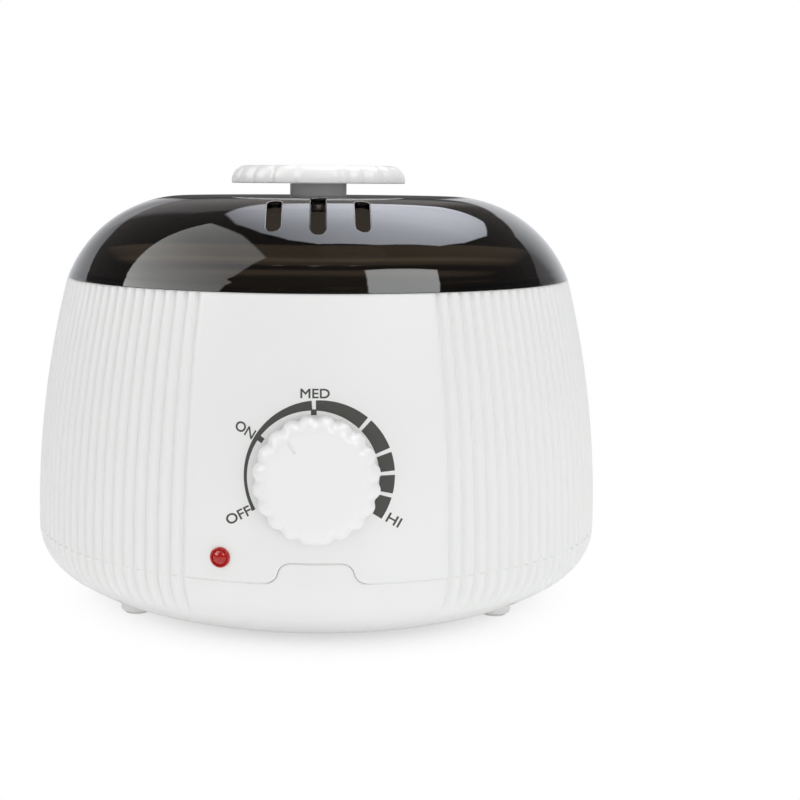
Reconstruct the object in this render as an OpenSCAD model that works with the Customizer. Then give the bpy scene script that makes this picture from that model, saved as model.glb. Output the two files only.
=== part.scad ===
// Electric wax warmer: a ribbed housing with a front dial, a lift-out pot with a bail,
// and a smoked lid with a scalloped knob.
// Millimetres, +Z up. The origin is on the table under the centre; the dial faces -Y.

/* [Housing] */
// Largest radius of the housing, at the seam above the base
body_r = 93.5; // [92:0.5:110]
// Height of the seam between base and housing
seam_z = 25; // [23:0.5:27]
// Height of the seam between housing and lid
lid_seam_z = 106; // [102:1:125]
// Radius of the long upright curve of the side
side_arc_r = 315; // [270:5:500]
// Radius of the tight curve where the base turns under
base_arc_r = 17; // [14:0.5:20]
// Radius of the wide curve under the base
floor_arc_r = 49; // [45:1:60]
// Height of the underside of the base above the table
base_lift = 2; // [1.6:0.2:4]
// Wall thickness of the housing and the base
wall = 2.5; // [2:0.1:3]
// Depth of the step in the housing's top that seats the lid
lip_h = 2; // [1.6:0.1:3]
// Radial width of the housing's top lip
lip_w = 3.3; // [2.8:0.1:3.6]
// Overlap of the base's tongue inside the housing
lap_h = 3; // [2:0.5:4]
// Thickness of the base's tongue
lap_w = 1.3; // [1:0.1:1.8]
// Clearance of parts that fit together at rest
fit_gap = 0.2; // [0.1:0.05:0.3]

/* [Base tab] */
// Height of the base's raised tab above the seam
tab_h = 5.9; // [4:0.1:8]
// Width of the tab's flat top
tab_top_w = 14.2; // [10:0.2:20]
// Width of the tab at the seam
tab_foot_w = 28.8; // [26:0.2:34]

/* [Feet] */
// Diameter of a foot
foot_d = 10; // [8:0.5:12]
// Distance of a foot from the middle, sideways
foot_x = 57.5; // [50:0.5:60]
// Distance of a foot from the middle, front to back
foot_y = 36; // [30:0.5:40]
// Diameter of the rubber pad under a foot
pad_d = 7.4; // [5:0.2:7.8]
// Thickness of the rubber pad
pad_t = 1.4; // [1.2:0.1:2]
// Depth of the pad's recess in the foot
pad_recess = 0.8; // [0.5:0.1:1]

/* [Lid] */
// Height of the lid's flat top
lid_top_z = 132.5; // [130:0.5:155]
// Radius of the lid's flat top
lid_flat_r = 44; // [38:0.5:48]
// Wall thickness of the lid
lid_wall = 2.2; // [1.8:0.1:2.6]
// Thickness of the lid's locating skirt
skirt_t = 2; // [1.6:0.1:2]
// Depth of the skirt below the lid's seam
skirt_h = 1.6; // [1:0.1:1.6]
// Width of a vent slot
slot_w = 4.8; // [3:0.2:6]
// Distance between neighbouring vent slots
slot_pitch = 13; // [10:0.5:16]
// Distance of the slots' front ends from the lid's edge
slot_edge = 11.7; // [10:0.1:14]
// Length of the middle slot, seen from above
slot_mid_l = 24; // [18:0.5:26]
// Length of the side slots, seen from above
slot_side_l = 18; // [14:0.5:22]

/* [Lid knob] */
// Diameter of the lid's knob over its lobes
knob_d = 57.8; // [50:0.2:64]
// Thickness of the lid's knob
knob_t = 5.8; // [5:0.2:8]
// Number of lobes round the lid's knob
knob_lobes = 22; // [16:1:26]
// Radius of the knob's rounded edge
knob_edge_r = 5; // [4:0.2:5]
// Diameter of the spacer under the knob
stem_d = 18.8; // [14:0.2:22]
// Height of the spacer under the knob
stem_h = 4.1; // [3:0.1:6]

/* [Pot] */
// Wall thickness of the wax pot
pot_wall = 1.2; // [1:0.1:1.5]
// Height of the wax pot
pot_h = 60.5; // [54:0.5:64]
// Height of the pot's rim above the lid's seam
pot_proud = 7; // [7:0.2:9]
// Gap between the pot's flange and the bail's bow
flange_gap = 1; // [0.5:0.1:2]
// Radius of the bead along the pot's flange
bead_r = 0.9; // [0.7:0.1:1.1]
// Radius of the pot's lower corner
pot_corner_r = 6; // [5:0.5:6.5]
// Gap between the pot and the heating well
well_gap = 1; // [0.8:0.1:1.5]

/* [Bail] */
// Gap between the bead on the bail and the lid's skirt
bail_gap = 1.4; // [0.8:0.1:2]
// Diameter of the bail's wire
wire_d = 2.4; // [2:0.1:2.5]
// Diameter of an ear of the pot
ear_d = 5.2; // [4.4:0.1:5.4]
// Length of an ear outside the pot
ear_l = 6.5; // [6:0.1:7]
// Gap between an ear's end and the bail's bow
ear_gap = 3.3; // [2.8:0.1:3.6]
// Radial clearance of the wire in an ear
pivot_fit = 0.07; // [0.03:0.01:0.1]
// Diameter of the rivet shank that holds an ear
ear_rivet_d = 3; // [2.5:0.1:3.4]
// Diameter of the bead on the bail
grip_d = 5.6; // [5:0.1:5.8]
// Length of the bead on the bail
grip_l = 9; // [6:0.5:12]

/* [Heating well] */
// Wall thickness of the heating well
well_wall = 1.5; // [1.2:0.1:2]
// Gap between the well's flange and the lid's skirt
well_flange_gap = 1.6; // [1:0.1:2]
// Thickness of the well's flange
well_flange_t = 1.2; // [1:0.1:1.4]
// Height of the heater band
band_h = 22; // [16:1:22]
// Thickness of the heater band
band_t = 2; // [1.5:0.1:2.4]
// Height of the band above the well's underside
band_up = 13; // [12.5:0.5:14]
// Thickness of the insulation
wrap_t = 4; // [3:0.5:4.5]
// Height of the insulation
wrap_h = 27; // [20:1:27]
// Radius of the heat shield
shield_r = 60; // [50:1:64]
// Distance of the heat shield below the well
shield_drop = 10; // [9:0.5:12]
// Thickness of the heat shield
shield_t = 1; // [0.8:0.1:1.5]

/* [Dial] */
// Height of the dial's centre on the panel
dial_z = 55.4; // [52:0.2:60]
// Diameter of the dial knob over its lobes
dial_d = 35.6; // [30:0.2:40]
// Height of the dial knob
dial_h = 12.4; // [11.6:0.2:16]
// Number of lobes round the dial knob
dial_lobes = 20; // [14:1:24]
// Gap between the dial knob and the panel
dial_gap = 0.9; // [0.8:0.1:1.5]
// Wall thickness of the dial knob
dial_wall = 2.4; // [2:0.1:3]
// Diameter of the thermostat's spindle
spindle_d = 6; // [5:0.1:6]
// Outer diameter of the thermostat's bush
bush_d = 10; // [9:0.1:10]
// Running clearance round the spindle
spindle_fit = 0.05; // [0.02:0.01:0.1]
// Width of the thermostat's body
stat_w = 22; // [18:0.5:24]
// Length of the thermostat's body
stat_l = 28; // [24:0.5:32]
// Depth of the thermostat's body
stat_t = 11; // [9:0.5:11.5]

/* [Indicator] */
// Direction of the indicator from the front, to the left
lens_az = 16.9; // [14:0.1:20]
// Height of the indicator's centre
lens_z = 31.8; // [31:0.1:38]
// Diameter of the lens's collar
lens_d = 6; // [5:0.1:7]
// Diameter of the lens's barrel
barrel_d = 4.8; // [4.4:0.1:4.8]
// Length of the lens's barrel
barrel_l = 9; // [7:0.5:12]
// Diameter of the lamp in the lens
lamp_d = 3.2; // [2.8:0.1:3.4]

/* [Inlet] */
// Height of the inlet bush at the back
inlet_z = 36; // [35:1:42]
// Diameter of the hole in the inlet bush
inlet_bore_d = 6.4; // [5.6:0.1:7]
// Outer diameter of the inlet bush in the wall
inlet_d = 11; // [10:0.2:12]
// Diameter of the inlet bush's flange
inlet_flange_d = 15; // [14:0.2:17]

/* [Fasteners] */
// Distance of the base screws from the housing's largest radius
screw_in = 11.5; // [11:0.5:13]
// Diameter of the base screws
screw_d = 3; // [2.6:0.1:3]
// Clearance round a screw's shank
screw_fit = 0.05; // [0.02:0.01:0.1]
// Length of the base screws
screw_l = 20; // [16:1:22]
// Distance of the well's screws from its flange's edge
well_screw_in = 3.6; // [3.4:0.1:4]

/* [Hidden] */
$fn = 96;
arc_fn = 720;
over = 1;
bite = 0.1;
loose = 0.4;
snug = 0.2;

// Side curve and base curve
side_c = body_r - side_arc_r;
base_c = body_r - base_arc_r;
floor_c_z = base_lift + floor_arc_r;
turn_dz = floor_c_z - seam_z;
turn_dx = sqrt(pow(floor_arc_r - base_arc_r, 2) - pow(turn_dz, 2));
floor_r0 = base_c - turn_dx;
turn_a = atan2(turn_dz, turn_dx);
function side_r(z) = side_c + sqrt(pow(side_arc_r, 2) - pow(z - seam_z, 2));
function side_tilt(z) = asin((z - seam_z) / side_arc_r);
function floor_z(r) =
  r < floor_r0 ? base_lift : floor_c_z - sqrt(pow(floor_arc_r, 2) - pow(r - floor_r0, 2));

foot_edge_r = 0.9;

// Housing top and lid
deck_z = lid_seam_z - lip_h;
lid_r = side_r(lid_seam_z);
lip_r = lid_r - lip_w;
lid_dx = lid_r - lid_flat_r;
lid_dz = lid_top_z - lid_seam_z;
lid_arc_r = (pow(lid_dx, 2) + pow(lid_dz, 2)) / (2 * lid_dz);
lid_c_z = lid_top_z - lid_arc_r;
skirt_r = lip_r - 2 * fit_gap;
skirt_in_r = skirt_r - skirt_t;
slot_outer_r = lid_r - slot_edge;
knob_z = lid_top_z + stem_h;
lid_screw_d = 4;
lid_screw_head_d = 8;
lid_washer_d = 12;
lid_washer_t = 1;
knob_scallop_r = 1.9;
knob_scallop_out = 0.95;
knob_top_t = 1.4;
lid_screw_head_t = 2.4;
lid_screw_short = 0.4;

// Tab outline: two equal arcs make each sloping side
tab_side = (tab_foot_w - tab_top_w) / 2;
tab_arc_r = (pow(tab_side, 2) + pow(tab_h, 2)) / (4 * tab_h);
tab_arc_a = asin(tab_side / 2 / tab_arc_r);
tab_steps = 10;
tab_back_r = body_r - wall - fit_gap - lap_w - 0.3;

// Pot, well and bail
bail_r = skirt_in_r - bail_gap - grip_d / 2;
ear_reach = bail_r - wire_d / 2 - ear_gap;
pot_r = ear_reach - ear_l;
flange_r = bail_r - wire_d / 2 - flange_gap;
well_flange_r = skirt_in_r - well_flange_gap;
pot_top_z = lid_seam_z + pot_proud;
pot_z = pot_top_z - pot_h;
well_in_r = pot_r + well_gap;
well_r = well_in_r + well_wall;
well_z = pot_z - well_wall;
well_corner_r = pot_corner_r - well_gap + well_wall;
well_top_z = deck_z + well_flange_t;
grip_lift = 0.3;
pivot_z = well_top_z + grip_d / 2 + grip_lift;
deck_hole_r = well_r + 1.5;
ear_root_x = pot_r;
pin_in = 4.5;
pin_end_gap = 0.4;
ear_head_d = 5;
ear_head_t = 1;
ear_head_gap = 0.1;
grip_fit = 0.6;
grip_ball_d = grip_l + 1.5;

// Heater band and insulation
band_z = well_z + band_up;
band_fit = 0.05;
band_in_r = well_r + band_fit;
band_r = band_in_r + band_t;
band_gap_a = 8;
band_lug_w = 7;
band_lug_t = 1.5;
band_lug_h = 14;
band_screw_d = 3;
band_screw_l = 19;
band_nut_af = 5.5;
band_nut_t = 2.4;
band_screw_y = band_r + band_lug_w / 2 + 0.5;
lug_half = band_screw_y * tan(band_gap_a / 2) + band_lug_t / cos(band_gap_a / 2) + 0.6;
wrap_z = band_z - 1;
wrap_in_r = band_r + snug;
wrap_r = wrap_in_r + wrap_t;
wrap_gap_a = 34;
tab_a = 24;
spade_w = 6.3;
spade_t = 0.8;
spade_l = 9;

// Heat shield and its stud
shield_z = well_z - shield_drop;
stud_d = 5;
stud_l = shield_drop + 7;
spacer_d = 9;
shield_rim_h = 4;
nut_t = 4;
nut_width = 8;
ring_t = 0.8;
ring_d = 9.4;

// Dial, in the frame of the panel's outward normal
seat_depth = 0.5;
panel_pad = 0.5;
panel_pad_d = 18;
seat_d = 19;
washer_d = 15;
washer_t = 0.8;
nut_af = 14;
stat_nut_t = 2.5;
stat_collar_t = 0.7;
stat_collar_d = 14;
bush_proud = 0.6;
stat_z = -wall - panel_pad;
dial_r = dial_d / 2;
dial_scallop_r = 1.7;
dial_scallop_out = 0.8;
dial_top_t = 3.9;
dial_dome_r = 5;
hub_d = 9.6;
hub_gap = 0.6;
spindle_in = 6;
spindle_float = 0.5;
spindle_flat = 0.35;
spindle_top = dial_gap + dial_h - 3.4;
pointer_a = 126;
pointer_l = 3.6;
pointer_w = 0.9;
pointer_r = 11.6;
pointer_depth = 0.5;
blade_w = 8;
blade_t = 0.8;
blade_plate_h = 8;
blade_foot_h = 3.5;
blade_gap = 0.1;
blade_z = band_z - 5;

// Indicator, in the frame of the panel's outward normal
lens_collar_t = 0.7;
lens_dome_r = 2.9;
lens_dome_c = -0.9;
lamp_gap = 0.3;
lens_bore_l = 8;
retainer_max_d = 10;
retainer_d = min(retainer_max_d, 2 * (lens_z - seam_z - lap_h - snug));
retainer_t = 0.8;
lamp_l = 10;

// Inlet bush
inlet_seat_d = inlet_flange_d + 2;
inlet_seat_y = body_r - 1.2;
inlet_flange_t = 2;
inlet_rim_t = 2;
inlet_rim_w = 1;
inlet_inner_gap = 0.6;

// Base screws and posts
screw_r = body_r - screw_in;
screw_az = [45, 135, 225, 315];
post_d = 9;
boss_d = 8;
boss_l = 26;
boss_top_z = seam_z + boss_l;
gusset_z = seam_z + lap_h + 2;
root_h = 4;
gusset_top_z = boss_top_z - 2;
gusset_a = 1.7;
screw_head_d = 5.6;
screw_head_t = 2;
head_sink = 9;
head_z = seam_z - head_sink;
bore_spare = 3;
counterbore_d = screw_head_d + 0.8;

// Well screws
well_screw_r = well_flange_r - well_screw_in;
well_screw_az = [45, 165, 285];
well_screw_d = 3;
well_screw_l = 9;
well_screw_head_d = 5.4;
well_screw_head_t = 1.6;
well_boss_d = 7;
well_boss_l = 11;

// Terminal block, on two pads of the base
floor_in_z = base_lift + wall;
block_w = 34;
block_d = 16;
block_h = 13;
block_y = 30;
block_pad_h = 4;
block_pad_d = 8;
block_z = floor_in_z + block_pad_h;
pole_pitch = 10;
block_screw_x = 5;
block_screw_d = 2.6;
block_head_d = 4.6;
block_head_t = 1.6;
block_sink = 2;
block_screw_short = 2.5;
terminal_screw_d = 3;
terminal_screw_l = 6.5;
terminal_screw_up = 1;
terminal_bore_d = 4.4;
terminal_bore_z = block_z + 4.5;

// Thermal fuse under the well
fuse_y = 24;
fuse_d = 4.4;
fuse_l = 16;
fuse_leg = 6;
fuse_z = well_z - 3.4;
clip_w = 8;
clip_t = 0.6;
clip_foot = 5;

// Lamp resistor
resistor_d = 3.4;
resistor_l = 12;
resistor_leg = 4;
resistor_leg_d = 0.8;
resistor_x = -22;
resistor_y = -44;
resistor_z = floor_in_z + resistor_d / 2 + 0.1;

// Leads: their ends follow what they join, and the points between are chosen by hand
lead_d = 2.2;
thin_lead_d = 1.6;
lead_gap = 0.1;
lead_bend = 3;
lead_z = terminal_bore_z - 0.2;
lead_in_y = block_y - 4;
lead_out_y = 14;
lead_turn_z = 50;
lead_rise_y = 13.5 - body_r;
lead_rise_z = 20;
lamp_lead_l = 4;
function on_side_point(z, lx, ly, lz) = [
  lx,
  -side_r(z) + ly * sin(side_tilt(z)) - lz * cos(side_tilt(z)),
  z + ly * cos(side_tilt(z)) + lz * sin(side_tilt(z))];
function turned(p, a) = [p[0] * cos(a) - p[1] * sin(a), p[0] * sin(a) + p[1] * cos(a), p[2]];
function spade_point(s, down) = on_side_point(dial_z,
  s * (stat_w / 4 + spade_t / 2 + lead_gap + lead_d / 2), -stat_l / 2 - down,
  stat_z - stat_collar_t - stat_t / 2 + spade_w / 4);
function band_point(s, z) = turned([0, band_r + lead_gap + lead_d / 2, z], s * tab_a / 2);
function lamp_point(s, back) = turned(on_side_point(lens_z, s * thin_lead_d * 0.55, 0,
  -barrel_l + lens_bore_l - lamp_gap - lamp_l - lead_gap - back), -lens_az);
fuse_end_x = fuse_l / 2 + fuse_leg + lead_gap;
resistor_end_x = resistor_l / 2 + resistor_leg + lead_gap;

live_route = [
  [1 - pole_pitch, lead_in_y, lead_z], [1 - pole_pitch, lead_out_y, lead_z],
  [-4, 2, 7], [-4, -40, 7], [-6, -66, 9], [-7, lead_rise_y, lead_rise_z], spade_point(-1, 8), spade_point(-1, 2)];
heater_route = [
  spade_point(1, 3), spade_point(1, 8), [7, lead_rise_y, lead_rise_z], [16, -62, 9], [40, -34, 8], [46, 20, 8],
  [40, 52, 12], [24, 70, 24], [16, 70, 46], band_point(-1, lead_turn_z), band_point(-1, band_z - 2)];
fuse_route = [
  band_point(1, band_z - 2), band_point(1, lead_turn_z), [-18, 60, fuse_z], [-22, 40, fuse_z],
  [-22, 30, fuse_z], [-20, fuse_y, fuse_z], [-fuse_end_x, fuse_y, fuse_z]];
neutral_route = [
  [fuse_end_x, fuse_y, fuse_z], [20, fuse_y, fuse_z], [26, 44, fuse_z],
  [28, 60, fuse_z], [28, 64, 36], [28, 52, 9], [24, 20, 8], [16, 8, 9],
  [pole_pitch + 1, lead_out_y, lead_z], [pole_pitch + 1, lead_in_y, lead_z]];
lamp_route = [
  lamp_point(-1, 0), lamp_point(-1, lamp_lead_l), [-26, -66, 16], [-36, -52, 8], [-34, resistor_y, resistor_z],
  [resistor_x - resistor_end_x, resistor_y, resistor_z]];
resistor_route = [
  [resistor_x + resistor_end_x, resistor_y, resistor_z], [-8.5, resistor_y, resistor_z], [-8.5, -36, 6.4],
  [-11, -28, 6.4], [-11, 10, 6.4], [-1.1 - pole_pitch, lead_out_y, lead_z], [-1.1 - pole_pitch, lead_in_y, lead_z]];
lamp_neutral_route = [
  lamp_point(1, 0), lamp_point(1, lamp_lead_l), [-19, -66, 14], [-17, -58, 12], [2, -50, 12], [4, -40, 8], [4, 4, 8],
  [pole_pitch - 1.1, lead_out_y, lead_z], [pole_pitch - 1.1, lead_in_y, lead_z]];
earth_route = [
  [0, lead_in_y, lead_z], [0, lead_out_y, 13], [0, 9, 20],
  [0, 9, shield_z - shield_t - ring_t / 2]];

// Places its children on the side at height z, az degrees round from the front,
// with their +Z along the outward normal
module on_side(z, az = 0) {
  rotate([0, 0, az]) translate([0, -side_r(z), z]) rotate([90 - side_tilt(z), 0, 0]) children();
}

// Places its children at radius r, az degrees round from +X
module at_polar(r, az) {
  rotate([0, 0, az]) translate([r, 0, 0]) children();
}

// Places its children at both signs of x
module both_sides(x) {
  for (s = [-1, 1]) translate([s * x, 0, 0]) children();
}

// Region inside the side curve, drawn in by inset, from z0 to z1
module side_2d(inset, z0, z1) {
  intersection() {
    translate([side_c, seam_z]) circle(r = side_arc_r - inset, $fn = arc_fn);
    translate([0, z0]) square([body_r + over + 1, z1 - z0]);
  }
}

// Region inside the base curve, drawn in by inset, up to the seam
module base_2d(inset) {
  intersection() {
    union() {
      intersection() {
        union() {
          translate([0, base_lift + inset]) square([floor_r0, seam_z]);
          translate([floor_r0, floor_c_z]) circle(r = floor_arc_r - inset, $fn = arc_fn);
        }
        square([floor_r0 + (floor_arc_r - inset) * cos(turn_a), seam_z]);
      }
      translate([base_c, seam_z]) circle(r = base_arc_r - inset, $fn = arc_fn / 2);
    }
    square([body_r + over + 1, seam_z]);
  }
}

// Solid cup section of radius r and height h, with its lower corner rounded by c
module cup_2d(r, h, c) {
  translate([0, c]) square([r, h - c]);
  square([r - c, c]);
  translate([r - c, c]) circle(r = c);
}

// Points down the right side of the tab, grown by g, from its top to the seam
function tab_side_points(g) = [
  for (i = [0 : 2 * tab_steps])
    let (t = tab_arc_a * min(i, 2 * tab_steps - i) / tab_steps, x = tab_arc_r * sin(t), z = tab_arc_r * (1 - cos(t)))
      [tab_top_w / 2 + g + (i <= tab_steps ? x : tab_side - x),
       seam_z + g + (i <= tab_steps ? tab_h - z : z)]];

// Tab outline in X and Z, grown by g
module tab_2d(g) {
  right = tab_side_points(g);
  last = len(right) - 1;
  polygon(concat(
    right, [[right[last][0], seam_z - over], [-right[last][0], seam_z - over]],
    [for (i = [last : -1 : 0]) [-right[i][0], right[i][1]]]));
}

// Mirrors its children across X when s is negative
module mirror_x(s) {
  if (s < 0) mirror([1, 0, 0]) children();
  else children();
}

// Mirrors its children across Y when s is positive
module mirror_y(s) {
  if (s > 0) mirror([0, 1, 0]) children();
  else children();
}

// Extrudes an outline along Y from y0 to y1 at height z
module along_y(y0, y1, z) {
  translate([0, y0, z]) rotate([-90, 0, 0]) linear_extrude(y1 - y0) children();
}

// Prism of the tab outline, grown by g, reaching from the middle to the front
module tab_prism(g) {
  rotate([90, 0, 0]) linear_extrude(body_r + 2 * over) tab_2d(g);
}

// Pan head and shank, head up, with the underside of the head at z = 0
module pan_screw(d, l, head_d, head_t) {
  slot = [head_d * 0.6, head_d * 0.12, head_t];
  translate([0, 0, -l]) cylinder(d = d, h = l + bite);
  difference() {
    rotate_extrude() intersection() {
      translate([0, head_t - head_d]) circle(r = head_d);
      square([head_d / 2, head_t]);
    }
    for (a = [0, 90]) rotate([0, 0, a]) translate([-slot[0] / 2, -slot[1] / 2, head_t * 0.45]) cube(slot);
  }
}

function unit(v) = v / norm(v);
function toward(a, b) = a + (b - a) * min(0.4, lead_bend / norm(b - a));

// Route with each corner cut off, so that it bends in two steps
function eased(p) = [
  p[0],
  for (i = [1 : len(p) - 2]) each [toward(p[i], p[i - 1]), toward(p[i], p[i + 1])],
  p[len(p) - 1]];
function headings(p) = [
  for (i = [0 : len(p) - 1])
    unit((i > 0 ? unit(p[i] - p[i - 1]) : [0, 0, 0]) + (i < len(p) - 1 ? unit(p[i + 1] - p[i]) : [0, 0, 0]))];
function square_to(v) = unit(cross(v, abs(v[2]) < 0.9 ? [0, 0, 1] : [1, 0, 0]));

// Directions square to each heading, carried along the route without twist
function carried(t, i = 0, done = []) =
  i == len(t) ? done
  : carried(t, i + 1, concat(done, [
    i == 0 ? square_to(t[0]) : unit(done[i - 1] - t[i] * (done[i - 1] * t[i]))]));

// Round lead of diameter d along a route
module lead(route, d, sides = 8) {
  p = eased(route);
  t = headings(p);
  u = carried(t);
  last = len(p) - 1;
  points = [
    for (i = [0 : last], k = [0 : sides - 1])
      p[i] + (u[i] * cos(k * 360 / sides) + cross(t[i], u[i]) * sin(k * 360 / sides)) * d / 2];
  ends = [[for (k = [0 : sides - 1]) k], [for (k = [sides - 1 : -1 : 0]) last * sides + k]];
  skin = [
    for (i = [0 : last - 1], k = [0 : sides - 1]) let (a = i * sides + k, b = i * sides + (k + 1) % sides)
      each [[a, a + sides, b + sides], [a, b + sides, b]]];
  polyhedron(points, concat(ends, skin));
}

// Hexagonal nut of width af across flats, with a bore
module hex_nut(af, t, bore) {
  difference() {
    cylinder(d = af / cos(30), h = t, $fn = 6);
    translate([0, 0, -over]) cylinder(d = bore, h = t + 2 * over);
  }
}

module body_shell() {
  color("white") difference() {
    union() {
      rotate_extrude() difference() {
        side_2d(0, seam_z, lid_seam_z);
        side_2d(wall, seam_z - over, deck_z - wall);
        translate([0, deck_z]) square([lip_r, 2 * lip_h]);
        translate([0, deck_z - 2 * wall]) square([deck_hole_r, 4 * wall]);
      }
      for (a = screw_az) {
        at_polar(screw_r, a) translate([0, 0, seam_z]) cylinder(d = boss_d, h = boss_top_z - seam_z);
        rotate([0, 0, a - gusset_a / 2]) rotate_extrude(angle = gusset_a) intersection() {
          side_2d(wall / 2, gusset_z, gusset_top_z);
          translate([screw_r, 0]) square([body_r - screw_r, boss_top_z]);
        }
      }
      for (a = well_screw_az) at_polar(well_screw_r, a) translate([0, 0, deck_z - wall / 2 - well_boss_l])
        cylinder(d = well_boss_d, h = well_boss_l);
      on_side(dial_z) translate([0, 0, stat_z]) cylinder(d = panel_pad_d, h = panel_pad + wall / 4);
    }
    intersection() {
      translate([0, 0, seam_z - over]) cylinder(r = body_r + over, h = 2 * over + 2 * tab_h);
      tab_prism(fit_gap / 2);
    }
    for (a = screw_az) at_polar(screw_r, a) translate([0, 0, seam_z - over])
      cylinder(d = screw_d + 2 * screw_fit, h = screw_l - (seam_z - head_z) + bore_spare + over);
    for (a = well_screw_az) at_polar(well_screw_r, a) translate([0, 0, deck_z - well_screw_l])
      cylinder(d = well_screw_d + 2 * screw_fit, h = well_screw_l + over);
    on_side(dial_z) {
      translate([0, 0, -seat_depth]) cylinder(d = seat_d, h = 2 * seat_depth + over);
      translate([0, 0, 2 * stat_z]) cylinder(d = bush_d + 2 * fit_gap, h = -3 * stat_z);
    }
    on_side(lens_z, -lens_az) translate([0, 0, -2 * wall]) cylinder(d = barrel_d + fit_gap, h = 3 * wall);
    translate([0, inlet_seat_y, inlet_z]) rotate([-90, 0, 0]) cylinder(d = inlet_seat_d, h = 2 * wall);
    translate([0, body_r, inlet_z]) rotate([90, 0, 0]) cylinder(d = inlet_d + fit_gap, h = 4 * wall);
  }
}

module base_shell() {
  color("white") difference() {
    union() {
      rotate_extrude() difference() {
        base_2d(0);
        base_2d(wall);
      }
      rotate_extrude() {
        translate([body_r - wall - fit_gap - lap_w, seam_z - over]) square([lap_w, lap_h + over]);
        translate([body_r - wall - fit_gap - lap_w, seam_z - root_h]) square([lap_w + wall / 2, root_h]);
      }
      intersection() {
        rotate_extrude() difference() {
          side_2d(0, seam_z, seam_z + 2 * tab_h);
          translate([0, seam_z - over]) square([tab_back_r, 4 * tab_h]);
        }
        tab_prism(0);
      }
      on_floor() for (a = screw_az) at_polar(screw_r, a) cylinder(d = post_d, h = seam_z);
      difference() {
        for (x = [-foot_x, foot_x], y = [-foot_y, foot_y]) translate([x, y, 0]) foot_boss();
        rotate_extrude() base_2d(wall / 2);
      }
      both_sides(block_screw_x) translate([0, block_y, floor_in_z - over])
        cylinder(d = block_pad_d, h = block_pad_h + over);
    }
    for (a = screw_az) at_polar(screw_r, a) {
      cylinder(d = counterbore_d, h = head_z);
      cylinder(d = screw_d + 2 * screw_fit, h = seam_z + over);
    }
    for (x = [-foot_x, foot_x], y = [-foot_y, foot_y]) translate([x, y, 0])
      cylinder(d = pad_d + fit_gap, h = pad_t);
    both_sides(block_screw_x) translate([0, block_y, floor_in_z])
      cylinder(d = block_screw_d + 2 * screw_fit, h = block_pad_h + over);
  }
}

// Keeps the part of its children above the middle of the base's wall
module on_floor() {
  intersection() {
    children();
    rotate_extrude() {
      base_2d(wall / 2);
      translate([0, seam_z - over]) square([body_r - wall, lid_seam_z - seam_z]);
    }
  }
}

// Moulded foot with a rounded lower edge
module foot_boss() {
  translate([0, 0, pad_t - pad_recess]) rotate_extrude() {
    translate([0, foot_edge_r]) square([foot_d / 2, 2 * wall]);
    square([foot_d / 2 - foot_edge_r, 2 * foot_edge_r]);
    translate([foot_d / 2 - foot_edge_r, foot_edge_r]) circle(r = foot_edge_r);
  }
}

module foot_pads() {
  color("gainsboro") for (x = [-foot_x, foot_x], y = [-foot_y, foot_y]) translate([x, y, 0])
    cylinder(d = pad_d, h = pad_t);
}

module base_screws() {
  color("silver") for (a = screw_az) at_polar(screw_r, a) translate([0, 0, head_z]) rotate([180, 0, 0])
    pan_screw(screw_d, screw_l, screw_head_d, screw_head_t);
}

module inlet_bush() {
  inner_y = side_r(inlet_z) - wall - inlet_inner_gap;
  color("dimgray") difference() {
    union() {
      along_y(inner_y - inlet_rim_t, inlet_seat_y + inlet_flange_t, inlet_z) circle(d = inlet_d);
      along_y(inner_y - inlet_rim_t, inner_y, inlet_z) circle(d = inlet_d + 2 * inlet_rim_w);
      along_y(inlet_seat_y, inlet_seat_y + inlet_flange_t, inlet_z) circle(d = inlet_flange_d);
    }
    along_y(inner_y - inlet_rim_t - over, inlet_seat_y + inlet_flange_t + over, inlet_z)
      circle(d = inlet_bore_d);
  }
}

module heating_well() {
  color("lightgray") difference() {
    union() {
      rotate_extrude() {
        difference() {
          translate([0, well_z]) cup_2d(well_r, well_top_z - well_z, well_corner_r);
          translate([0, pot_z]) cup_2d(well_in_r, pot_h, well_corner_r - well_wall);
        }
        translate([well_in_r, deck_z]) square([well_flange_r - well_in_r, well_flange_t]);
      }
      translate([0, 0, well_z - stud_l]) cylinder(d = stud_d, h = stud_l + well_wall / 2);
    }
    for (a = well_screw_az) at_polar(well_screw_r, a) translate([0, 0, deck_z - over])
      cylinder(d = well_screw_d + 2 * screw_fit, h = well_flange_t + 2 * over);
  }
}

module well_screws() {
  color("silver") for (a = well_screw_az) at_polar(well_screw_r, a) translate([0, 0, well_top_z])
    pan_screw(well_screw_d, well_screw_l, well_screw_head_d, well_screw_head_t);
}

// Ring sector of the given section, open over gap degrees at the back
module open_ring(r0, r1, z0, h, gap) {
  rotate([0, 0, 90 + gap / 2]) rotate_extrude(angle = 360 - gap)
    translate([r0, z0]) square([r1 - r0, h]);
}

module heater_band() {
  lug_z = band_z + (band_h - band_lug_h) / 2;
  color("silver") difference() {
    union() {
      open_ring(band_in_r, band_r, band_z, band_h, band_gap_a);
      for (s = [-1, 1]) rotate([0, 0, 90 - s * band_gap_a / 2]) mirror_y(s)
        translate([band_in_r, 0, lug_z]) cube([band_lug_w + band_t, band_lug_t, band_lug_h]);
      for (a = [90 - tab_a / 2, 90 + tab_a / 2]) rotate([0, 0, a])
        translate([band_r - spade_t, -spade_w / 2, band_z - spade_l])
          cube([spade_t, spade_w, spade_l + band_h / 5]);
    }
    translate([0, band_screw_y, band_z + band_h / 2]) rotate([0, 90, 0])
      cylinder(d = band_screw_d + loose, h = 4 * lug_half, center = true);
  }
}

module band_screw() {
  color("silver") translate([lug_half, band_screw_y, band_z + band_h / 2]) rotate([0, 90, 0])
    pan_screw(band_screw_d, band_screw_l, screw_head_d, screw_head_t);
}

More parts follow.
